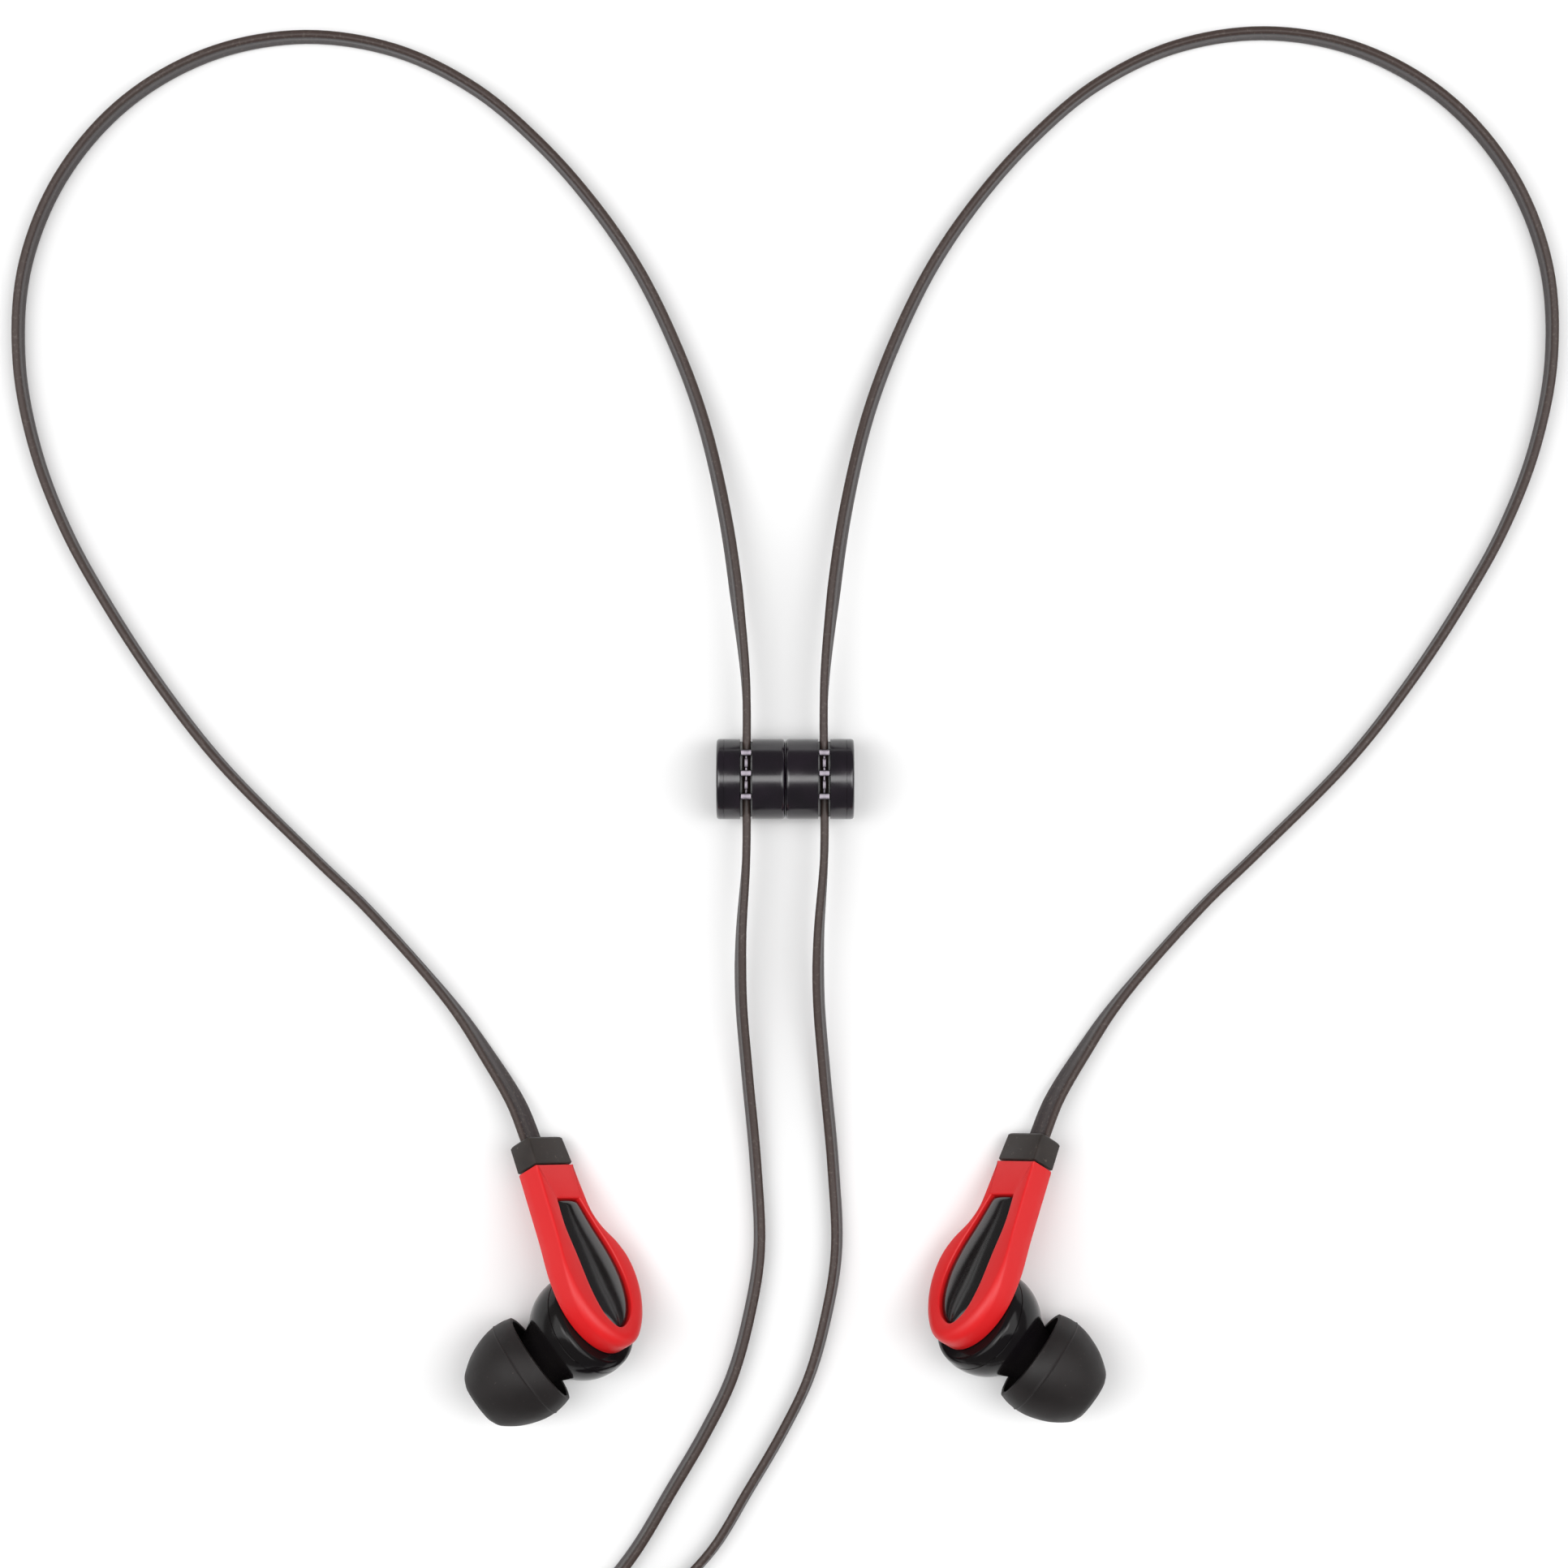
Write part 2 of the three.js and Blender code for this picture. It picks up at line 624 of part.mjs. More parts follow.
// ---- plug: x along the plug, from the cable to the tip ----
function addPlug() {
  const plug = new THREE.Group();
  plug.position.copy(plugStart);
  plug.rotation.z = -Math.PI / 2;
  earphones.add(plug);

  const bodyStart = plugReliefLength + gap;
  const bodyEnd = bodyStart + plugBodyLength;
  const relief = openLathe([
    [0, 0], [2.3, 0], [2.6, 3], [3.0, 6], [3.1, plugReliefLength], [0, plugReliefLength],
  ]);
  addPiece(plug, "plug_relief", relief, "mattBlack");

  const seat = 3;
  const body = openLathe([
    [0, bodyStart], [plugRadius, bodyStart], [plugRadius, bodyEnd - 0.4],
    [plugRadius - 0.4, bodyEnd], [jackRadius + gap, bodyEnd], [jackRadius + gap, bodyEnd - seat],
    [0, bodyEnd - seat],
  ]);
  addPiece(plug, "plug_body", body, "anodised");

  // a 3.5 mm jack: sleeve, ring and tip, kept apart by insulators
  const sleeveStart = bodyEnd - seat + gap;
  const sleeveEnd = bodyEnd + 6.5;
  const spacer = 0.5;
  const ringStart = sleeveEnd + spacer + 2 * gap;
  const ringEnd = ringStart + 2.0;
  const tipStart = ringEnd + spacer + 2 * gap;
  const tipEnd = bodyEnd + jackLength;
  addPiece(plug, "jack_sleeve", disc(jackRadius, sleeveStart, sleeveEnd), "gold");
  const spacerRadius = jackRadius - 0.05;
  const rear = disc(spacerRadius, sleeveEnd + gap, ringStart - gap);
  addPiece(plug, "jack_spacer_rear", rear, "mattBlack");
  addPiece(plug, "jack_ring", disc(jackRadius, ringStart, ringEnd), "gold");
  const front = disc(spacerRadius, ringEnd + gap, tipStart - gap);
  addPiece(plug, "jack_spacer_front", front, "mattBlack");
  const tip = openLathe([
    [0, tipStart], [jackRadius, tipStart], [jackRadius, tipStart + 0.6], [1.15, tipStart + 1.7],
    [1.6, tipEnd - 1.3], [0.5, tipEnd], [0, tipEnd],
  ], smallSegments);
  addPiece(plug, "jack_tip", tip, "gold");
}

for (const side of ["left", "right"]) {
  addBud(side);
  addClasp(side);
}
addStrands();
addSplit();
addLead();
addPlug();

export default earphones;
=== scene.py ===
import math

import bmesh
import bpy
from mathutils import Matrix, Vector


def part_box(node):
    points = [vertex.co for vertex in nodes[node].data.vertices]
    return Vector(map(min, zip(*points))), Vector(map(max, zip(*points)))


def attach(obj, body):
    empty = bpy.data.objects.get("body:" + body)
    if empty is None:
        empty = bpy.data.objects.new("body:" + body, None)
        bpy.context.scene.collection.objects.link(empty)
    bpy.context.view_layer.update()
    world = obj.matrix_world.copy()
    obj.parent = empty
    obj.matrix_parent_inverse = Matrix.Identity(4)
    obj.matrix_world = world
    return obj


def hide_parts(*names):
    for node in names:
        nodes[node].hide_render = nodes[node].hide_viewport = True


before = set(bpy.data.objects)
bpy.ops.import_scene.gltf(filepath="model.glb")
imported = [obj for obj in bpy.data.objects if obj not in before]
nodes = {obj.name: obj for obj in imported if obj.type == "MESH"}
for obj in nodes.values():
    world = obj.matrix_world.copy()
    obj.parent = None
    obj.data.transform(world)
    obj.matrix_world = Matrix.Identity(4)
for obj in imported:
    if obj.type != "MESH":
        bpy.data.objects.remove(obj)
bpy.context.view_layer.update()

# every length below is in millimetres, with x = 0 midway between the buds and z = 0 on the table
mm = 0.001
setBody = "cable_and_buds"
claspMiddle = 37.35
barrelLow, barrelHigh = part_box("left_clasp_barrel")
shiftY = (barrelLow.y + barrelHigh.y) / 2 - claspMiddle * mm
toFrame = Matrix.Translation((0, shiftY, 0)) @ Matrix.Scale(mm, 4)
mirrorX = Matrix.Scale(-1, 4, (1, 0, 0))
zAxis = Vector((0, 0, 1))

# ---- camera, lights and floor ----
cameraLook = {"height": 500, "over": (-0.15, 36.75), "across": 193.2, "sensor": 36}
cameraData = bpy.data.cameras.new("camera")
cameraData.sensor_width = cameraLook["sensor"]
cameraData.lens = cameraLook["sensor"] * cameraLook["height"] / cameraLook["across"]
cameraData.clip_start = 0.01
camera = bpy.data.objects.new("camera", cameraData)
camera.location = toFrame @ Vector((*cameraLook["over"], cameraLook["height"]))
bpy.context.scene.collection.objects.link(camera)
bpy.context.scene.camera = camera
bpy.context.scene.view_settings.view_transform = "Standard"

lightLooks = [
    {"name": "leftSide", "place": (-0.75, 0.04, 1.0), "size": (0.9, 1.3), "power": 7.6},
    {"name": "rightSide", "place": (0.75, 0.04, 1.0), "size": (0.9, 1.3), "power": 7.6},
    {"name": "overhead", "place": (0, 0.05, 1.1), "size": (1.6, 0.32), "power": 6.5},
]
for look in lightLooks:
    lamp = bpy.data.lights.new(look["name"], "AREA")
    lamp.shape = "RECTANGLE"
    lamp.size, lamp.size_y = look["size"]
    lamp.energy = look["power"]
    lampObject = bpy.data.objects.new(look["name"], lamp)
    lampObject.location = look["place"]
    lampObject.rotation_mode = "QUATERNION"
    lampObject.rotation_quaternion = Vector(look["place"]).to_track_quat("Z", "Y")
    bpy.context.scene.collection.objects.link(lampObject)

world = bpy.data.worlds.new("studio")
world.use_nodes = True
world.node_tree.nodes["Background"].inputs["Color"].default_value = (1, 1, 1, 1)
world.node_tree.nodes["Background"].inputs["Strength"].default_value = 0.2
bpy.context.scene.world = world

bpy.ops.object.select_all(action="DESELECT")
bpy.ops.mesh.primitive_plane_add(size=6, location=(0, 0, 0))
floor = bpy.context.object
floor.name = "floor"
print("camera, lights and floor made")


# ---- materials ----
def newMaterial(name):
    material = bpy.data.materials.new(name)
    material.use_nodes = True
    tree = material.node_tree
    shader = tree.nodes["Principled BSDF"]
    return material, tree, shader


def addNode(tree, kind, inputs=None, **settings):
    node = tree.nodes.new(kind)
    for key, value in settings.items():
        setattr(node, key, value)
    for key, value in (inputs or {}).items():
        if isinstance(value, bpy.types.NodeSocket):
            tree.links.new(value, node.inputs[key])
        else:
            node.inputs[key].default_value = value
    return node


def noiseOn(tree, place, scale, detail=3.0, roughness=0.55):
    settings = {"Vector": place, "Scale": scale, "Detail": detail, "Roughness": roughness}
    return addNode(tree, "ShaderNodeTexNoise", settings).outputs["Fac"]


def spread(tree, value, low, high, fromLow=0.35, fromHigh=0.65):
    node = addNode(tree, "ShaderNodeMapRange", {
        "Value": value, "From Min": fromLow, "From Max": fromHigh, "To Min": low, "To Max": high,
    })
    return node.outputs["Result"]


def mixColors(tree, share, first, second):
    node = tree.nodes.new("ShaderNodeMix")
    node.data_type = "RGBA"
    tree.links.new(share, node.inputs[0])
    for socket, value in ((node.inputs[6], first), (node.inputs[7], second)):
        if isinstance(value, bpy.types.NodeSocket):
            tree.links.new(value, socket)
        else:
            socket.default_value = (*value, 1)
    return node.outputs[2]


def bumpOn(tree, height, distance, strength=1.0, normal=None):
    inputs = {"Height": height, "Distance": distance, "Strength": strength}
    if normal is not None:
        inputs["Normal"] = normal
    return addNode(tree, "ShaderNodeBump", inputs).outputs["Normal"]


def objectPlace(tree):
    return tree.nodes.new("ShaderNodeTexCoord").outputs["Object"]


# A moulded or plated surface: slow colour change, fine grain, uneven gloss, and fine scuffs.
def surface(look):
    material, tree, shader = newMaterial(look["name"])
    place = objectPlace(tree)
    slow = noiseOn(tree, place, look.get("patches", 180))
    fine = noiseOn(tree, place, look.get("grain", 2500), detail=4.0)
    color = mixColors(tree, spread(tree, slow, 0, 1), look["color"], look["second"])
    specks = look.get("specks")
    if specks:
        dots = noiseOn(tree, place, specks["scale"], detail=2.0)
        share = spread(tree, dots, 0, specks["share"], specks["start"], specks["start"] + 0.06)
        color = mixColors(tree, share, color, specks["color"])
    tree.links.new(color, shader.inputs["Base Color"])
    low, high = look["roughness"]
    tree.links.new(spread(tree, slow, low, high), shader.inputs["Roughness"])
    normal = bumpOn(tree, fine, look.get("bump", 0.00001), look.get("strength", 0.3))
    tree.links.new(normal, shader.inputs["Normal"])
    shader.inputs["Metallic"].default_value = look.get("metal", 0)
    shader.inputs["Coat Weight"].default_value = look.get("coat", 0)
    shader.inputs["Coat Roughness"].default_value = look.get("coatRoughness", 0.05)
    shader.inputs["IOR"].default_value = 1.5
    shader.inputs["Specular IOR Level"].default_value = look.get("specular", 0.5)
    return material


finishes = {}
surfaceLooks = [
    {"name": "redShell", "color": (0.71, 0.010, 0.012), "second": (0.68, 0.008, 0.010),
     "roughness": (0.40, 0.47), "patches": 90, "bump": 0.000003, "strength": 0.1,
     "specular": 0.45},
    {"name": "inlayBlack", "color": (0.006, 0.005, 0.005), "second": (0.009, 0.007, 0.008),
     "roughness": (0.13, 0.18), "patches": 120, "bump": 0.000001, "strength": 0.05, "specular": 0.7},
    {"name": "ballBlack", "color": (0.005, 0.004, 0.005), "second": (0.008, 0.007, 0.007),
     "roughness": (0.13, 0.19), "patches": 120, "bump": 0.000001, "strength": 0.05, "specular": 0.22},
    {"name": "nozzleBlack", "color": (0.007, 0.006, 0.007), "second": (0.011, 0.010, 0.010),
     "roughness": (0.42, 0.52), "bump": 0.00001, "strength": 0.3, "specular": 0.3},
    {"name": "siliconeBlack", "color": (0.011, 0.009, 0.009), "second": (0.015, 0.012, 0.012),
     "roughness": (0.5, 0.62), "patches": 260, "grain": 5200, "bump": 0.000012, "strength": 0.35,
     "specular": 0.3,
     "specks": {"scale": 2400, "share": 0.35, "start": 0.70, "color": (0.09, 0.075, 0.07)}},
    {"name": "reliefBlack", "color": (0.019, 0.014, 0.012), "second": (0.028, 0.021, 0.018),
     "roughness": (0.42, 0.58), "patches": 420, "grain": 4200, "bump": 0.00002, "strength": 0.4,
     "specular": 0.4,
     "specks": {"scale": 1400, "share": 0.5, "start": 0.66, "color": (0.11, 0.085, 0.07)}},
    {"name": "claspBlack", "color": (0.004, 0.002, 0.005), "second": (0.007, 0.003, 0.008),
     "roughness": (0.17, 0.24), "patches": 240, "grain": 5200, "bump": 0.000003, "strength": 0.15,
     "specular": 0.75},
    {"name": "rungMetal", "color": (0.13, 0.115, 0.135), "second": (0.20, 0.18, 0.205),
     "roughness": (0.26, 0.36), "patches": 700, "bump": 0.000004, "metal": 0.9},
    {"name": "plugBlack", "color": (0.010, 0.007, 0.011), "second": (0.014, 0.010, 0.015),
     "roughness": (0.22, 0.30), "patches": 240, "grain": 5200, "bump": 0.000004, "strength": 0.2,
     "coat": 0.5, "coatRoughness": 0.22, "specular": 0.7},
    {"name": "goldPlate", "color": (0.80, 0.56, 0.22), "second": (0.74, 0.50, 0.19),
     "roughness": (0.14, 0.24), "patches": 500, "bump": 0.000004, "metal": 1},
    {"name": "insulator", "color": (0.010, 0.009, 0.010), "second": (0.014, 0.013, 0.014),
     "roughness": (0.4, 0.5), "bump": 0.000008},
    {"name": "driverSteel", "color": (0.52, 0.52, 0.53), "second": (0.60, 0.60, 0.60),
     "roughness": (0.25, 0.38), "patches": 500, "bump": 0.000006, "metal": 1},
    {"name": "magnetNickel", "color": (0.46, 0.45, 0.43), "second": (0.53, 0.52, 0.50),
     "roughness": (0.16, 0.28), "patches": 500, "bump": 0.000004, "metal": 1},
    {"name": "driverPlastic", "color": (0.016, 0.015, 0.017), "second": (0.022, 0.021, 0.023),
     "roughness": (0.45, 0.6), "bump": 0.00001},
    {"name": "coneFilm", "color": (0.50, 0.46, 0.34), "second": (0.60, 0.56, 0.44),
     "roughness": (0.2, 0.32), "patches": 900, "bump": 0.000008, "coat": 0.3},
    {"name": "boardGreen", "color": (0.010, 0.085, 0.030), "second": (0.016, 0.11, 0.042),
     "roughness": (0.3, 0.42), "patches": 900, "bump": 0.000008},
    {"name": "paleFloor", "color": (0.92, 0.92, 0.92), "second": (0.94, 0.94, 0.94),
     "roughness": (0.8, 0.9), "patches": 6, "grain": 900, "bump": 0.00001, "strength": 0.1,
     "specular": 0.0},
]
for look in surfaceLooks:
    finishes[look["name"]] = surface(look)
floor.data.materials.append(finishes["paleFloor"])


# The cable's jacket: the rounded edges are painted lighter and browner than the cooler flat sides, a painted
# highlight where light falls on the edge, and long faint drawing marks.
def cableFinish(look):
    material, tree, shader = newMaterial("cableJacket")
    uv = addNode(tree, "ShaderNodeUVMap", uv_map="alongCable").outputs["UV"]
    across = addNode(tree, "ShaderNodeAttribute", attribute_name="acrossCable").outputs["Fac"]
    # painted highlight: toward the edges the colour moves from the darker flat colour to the lighter edge
    # colour
    onEdge = spread(tree, across, 0, 1, 0.74, 0.92)
    color = mixColors(tree, onEdge, look["flat"], look["edge"])
    stretched = addNode(tree, "ShaderNodeMapping", {"Vector": uv, "Scale": look["streaks"]})
    streaks = noiseOn(tree, stretched.outputs["Vector"], 1.0, detail=4.0)
    color = mixColors(tree, spread(tree, streaks, 0, look["streakShare"]), color, look["worn"])
    specks = noiseOn(tree, objectPlace(tree), look["speckScale"], detail=3.0)
    color = mixColors(tree, spread(tree, specks, 0, 0.55, 0.56, 0.72), color, look["dust"])
    tree.links.new(color, shader.inputs["Base Color"])
    tree.links.new(spread(tree, streaks, 0.36, 0.52), shader.inputs["Roughness"])
    shader.inputs["Specular IOR Level"].default_value = 0.3
    ridged = bumpOn(tree, streaks, 0.00004, 0.35)
    tree.links.new(bumpOn(tree, specks, 0.00002, 0.35, ridged), shader.inputs["Normal"])
    return material


# the edge colour is a painted highlight, lighter than the flat colour of the same jacket
finishes["cableJacket"] = cableFinish({
    "flat": (0.020, 0.014, 0.016), "edge": (0.046, 0.030, 0.026), "worn": (0.068, 0.050, 0.044),
    "dust": (0.12, 0.095, 0.085), "streaks": (0.35, 26, 1), "streakShare": 0.5, "speckScale": 2600,
})


# Woven strap with a pile of loops.
def strapFinish(look):
    material, tree, shader = newMaterial("tieStrap")
    place = objectPlace(tree)
    ribs = addNode(tree, "ShaderNodeTexWave", {
        "Vector": place, "Scale": look["ribs"], "Distortion": 1.5, "Detail": 2.0,
    }, bands_direction="Y")
    pile = noiseOn(tree, place, look["pile"], detail=5.0)
    color = mixColors(tree, spread(tree, pile, 0, 1), look["color"], look["second"])
    tree.links.new(color, shader.inputs["Base Color"])
    woven = bumpOn(tree, ribs.outputs["Fac"], 0.0001, 0.5)
    tree.links.new(bumpOn(tree, pile, 0.0001, 0.6, woven), shader.inputs["Normal"])
    shader.inputs["Roughness"].default_value = 0.85
    shader.inputs["Sheen Weight"].default_value = 0.4
    return material


finishes["tieStrap"] = strapFinish({
    "ribs": 900, "pile": 4500, "color": (0.012, 0.012, 0.013), "second": (0.030, 0.029, 0.031),
})


# Wound copper wire, and a fine woven steel mesh.
def windingFinish(name, color, second, bands, direction):
    material, tree, shader = newMaterial(name)
    place = objectPlace(tree)
    turns = addNode(tree, "ShaderNodeTexWave", {
        "Vector": place, "Scale": bands, "Distortion": 0.4, "Detail": 1.0,
    }, bands_direction=direction).outputs["Fac"]
    tree.links.new(mixColors(tree, turns, second, color), shader.inputs["Base Color"])
    tree.links.new(bumpOn(tree, turns, 0.00003, 0.8), shader.inputs["Normal"])
    shader.inputs["Metallic"].default_value = 1
    shader.inputs["Roughness"].default_value = 0.32
    return material


finishes["copperWire"] = windingFinish(
    "copperWire", (0.62, 0.28, 0.12), (0.25, 0.09, 0.03), 5200, "DIAGONAL")


def screenFinish(look):
    material, tree, shader = newMaterial("nozzleScreen")
    holes = addNode(tree, "ShaderNodeTexVoronoi", {
        "Vector": objectPlace(tree), "Scale": look["scale"], "Randomness": 0.25,
    }).outputs["Distance"]
    wires = spread(tree, holes, 0, 1, 0.28, 0.42)
    tree.links.new(mixColors(tree, wires, look["hole"], look["wire"]), shader.inputs["Base Color"])
    tree.links.new(bumpOn(tree, wires, 0.00008, 0.9), shader.inputs["Normal"])
    shader.inputs["Metallic"].default_value = 0.9
    shader.inputs["Roughness"].default_value = 0.35
    return material


finishes["nozzleScreen"] = screenFinish(
    {"scale": 4200, "hole": (0.01, 0.01, 0.01), "wire": (0.45, 0.45, 0.46)})

cadFinishes = {
    "driver_frame": "driverPlastic", "driver_yoke": "driverSteel", "driver_magnet": "magnetNickel",
    "driver_top_plate": "driverSteel", "voice_coil": "copperWire", "diaphragm": "coneFilm",
    "terminal_board": "boardGreen", "nozzle_mesh": "nozzleScreen", "clasp_magnet": "magnetNickel",
}
for side in ("left", "right"):
    for part, finish in cadFinishes.items():
        node = nodes[f"{side}_{part}"]
        node.data.materials.clear()
        node.data.materials.append(finishes[finish])
print("materials made")


# ---- modelling helpers ----
def smoothPath(points, spacing):
    knots = [Vector(p) for p in points]
    knots = [2 * knots[0] - knots[1], *knots, 2 * knots[-1] - knots[-2]]
    dense = []
    for a, b, c, d in zip(knots, knots[1:], knots[2:], knots[3:]):
        t1 = (b - a).length ** 0.5
        t2 = t1 + (c - b).length ** 0.5
        t3 = t2 + (d - c).length ** 0.5
        count = max(2, math.ceil((c - b).length / spacing * 3))
        for i in range(count):
            t = t1 + (t2 - t1) * i / count
            a1 = a.lerp(b, t / t1)
            a2 = b.lerp(c, (t - t1) / (t2 - t1))
            a3 = c.lerp(d, (t - t2) / (t3 - t2))
            b1 = a1.lerp(a2, t / t2)
            b2 = a2.lerp(a3, (t - t1) / (t3 - t1))
            dense.append(b1.lerp(b2, (t - t1) / (t2 - t1)))
    dense.append(knots[-2])
    return resample(dense, spacing)


def pathLength(points):
    return sum((b - a).length for a, b in zip(points, points[1:]))


def resample(points, spacing=None, count=None):
    total = pathLength(points)
    steps = count or max(2, round(total / spacing))
    even = []
    walked, i = 0.0, 0
    for k in range(steps + 1):
        wanted = total * k / steps
        while i < len(points) - 2 and walked + (points[i + 1] - points[i]).length < wanted:
            walked += (points[i + 1] - points[i]).length
            i += 1
        span = (points[i + 1] - points[i]).length
        even.append(points[i].lerp(points[i + 1], min(1, (wanted - walked) / span)))
    return even


def interpolate(keys, share):
    for (s0, v0), (s1, v1) in zip(keys, keys[1:]):
        if share <= s1:
            t = (share - s0) / (s1 - s0)
            return v0 + (v1 - v0) * t * t * (3 - 2 * t)
    return keys[-1][1]


# Gives back the selected object, made of loops of points: a circle is added, moved to the first
# loop, and extruded along the others.
def extrudeLoops(name, loops, fill=True):
    if bpy.context.object and bpy.context.object.mode != "OBJECT":
        bpy.ops.object.mode_set(mode="OBJECT")
    bpy.ops.object.select_all(action="DESELECT")
    bpy.ops.mesh.primitive_circle_add(vertices=len(loops[0]), radius=1)
    piece = bpy.context.object
    piece.name = name
    piece.data.name = name
    bpy.ops.object.mode_set(mode="EDIT")
    mesh = bmesh.from_edit_mesh(piece.data)
    order = mesh.verts.layers.int.new("order")
    for i, vertex in enumerate(mesh.verts):
        vertex[order] = i
        vertex.co = loops[0][i]
    bmesh.update_edit_mesh(piece.data)
    bpy.ops.mesh.select_all(action="SELECT")
    for points in loops[1:]:
        bpy.ops.mesh.extrude_edges_move()
        mesh = bmesh.from_edit_mesh(piece.data)
        order = mesh.verts.layers.int["order"]
        for vertex in mesh.verts:
            if vertex.select:
                vertex.co = points[vertex[order]]
        bmesh.update_edit_mesh(piece.data)
    bpy.ops.mesh.select_all(action="SELECT")
    bpy.ops.mesh.remove_doubles(threshold=0.002)
    if fill:
        bpy.ops.mesh.fill_holes(sides=0)
    bpy.ops.mesh.select_all(action="SELECT")
    bpy.ops.mesh.normals_make_consistent(inside=False)
    bpy.ops.object.mode_set(mode="OBJECT")
    return piece


def applyModifier(piece, kind, **settings):
    bpy.ops.object.select_all(action="DESELECT")
    piece.select_set(True)
    bpy.context.view_layer.objects.active = piece
    modifier = piece.modifiers.new(kind.lower(), kind)
    for key, value in settings.items():
        setattr(modifier, key, value)
    bpy.ops.object.modifier_apply(modifier=modifier.name)


def addBlock(name, size, centre, edge=0.0, segments=2):
    bpy.ops.object.select_all(action="DESELECT")
    bpy.ops.mesh.primitive_cube_add(size=1)
    block = bpy.context.object
    block.name = name
    block.data.transform(Matrix.Translation(centre) @ Matrix.Diagonal((*size, 1)))
    if edge:
        bpy.ops.object.mode_set(mode="EDIT")
        bpy.ops.mesh.select_all(action="SELECT")
        bpy.ops.mesh.bevel(offset=edge, segments=segments, affect="EDGES")
        bpy.ops.object.mode_set(mode="OBJECT")
    return block


def joinPieces(name, pieces):
    bpy.ops.object.select_all(action="DESELECT")
    for piece in pieces:
        piece.select_set(True)
    bpy.context.view_layer.objects.active = pieces[0]
    bpy.ops.object.join()
    pieces[0].name = name
    return pieces[0]


# Rounds the corners of a profile. A point's third value is its corner's radius.
def roundCorners(profile, steps=4):
    soft = []
    for i, point in enumerate(profile):
        corner = Vector(point[:2])
        radius = point[2] if len(point) > 2 else 0
        if radius == 0 or i in (0, len(profile) - 1):
            soft.append(corner)
            continue
        before = Vector(profile[i - 1][:2]) - corner
        after = Vector(profile[i + 1][:2]) - corner
        reach = min(radius, 0.48 * before.length, 0.48 * after.length)
        start = corner + before.normalized() * reach
        end = corner + after.normalized() * reach
        for k in range(steps + 1):
            t = k / steps
            soft.append(start.lerp(corner, t).lerp(corner.lerp(end, t), t))
    return soft


def circleLoop(radius, along, count):
    turns = [2 * math.pi * i / count for i in range(count)]
    return [Vector((radius * math.cos(a), along, radius * math.sin(a))) for a in turns]


# A turned piece about +Y, from [radius, along] points.
def turn(name, profile, count=64, fill=True):
    return extrudeLoops(name, [circleLoop(r, y, count) for r, y in profile], fill)


def finishPiece(piece, matrix, finish, body, replaced, angle=35):
    piece.data.transform(matrix)
    bpy.ops.object.select_all(action="DESELECT")
    piece.select_set(True)
    bpy.context.view_layer.objects.active = piece
    if matrix.determinant() < 0:
        piece.data.flip_normals()
    bpy.ops.object.shade_smooth_by_angle(angle=math.radians(angle))
    piece.data.materials.clear()
    piece.data.materials.append(finishes[finish])
    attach(piece, body)
    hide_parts(*replaced)
    return piece


# Both sides of a piece: the left one as modelled, and a mirrored copy with its own mesh.
def finishPair(piece, matrix, rightMatrix, finish, body, part, angle=35):
    copied = piece.copy()
    copied.data = piece.data.copy()
    bpy.context.scene.collection.objects.link(copied)
    pair = []
    for side, one, place in (("left", piece, matrix), ("right", copied, rightMatrix)):
        one.name = f"{side}{part[0].upper()}{part[1:]}"
        one.data.name = one.name
        rides = setBody if body is None else f"{side}_{body}"
        node = "".join("_" + c.lower() if c.isupper() else c for c in part)
        pair.append(finishPiece(one, place, finish, rides, [f"{side}_{node}"], angle))
    return pair


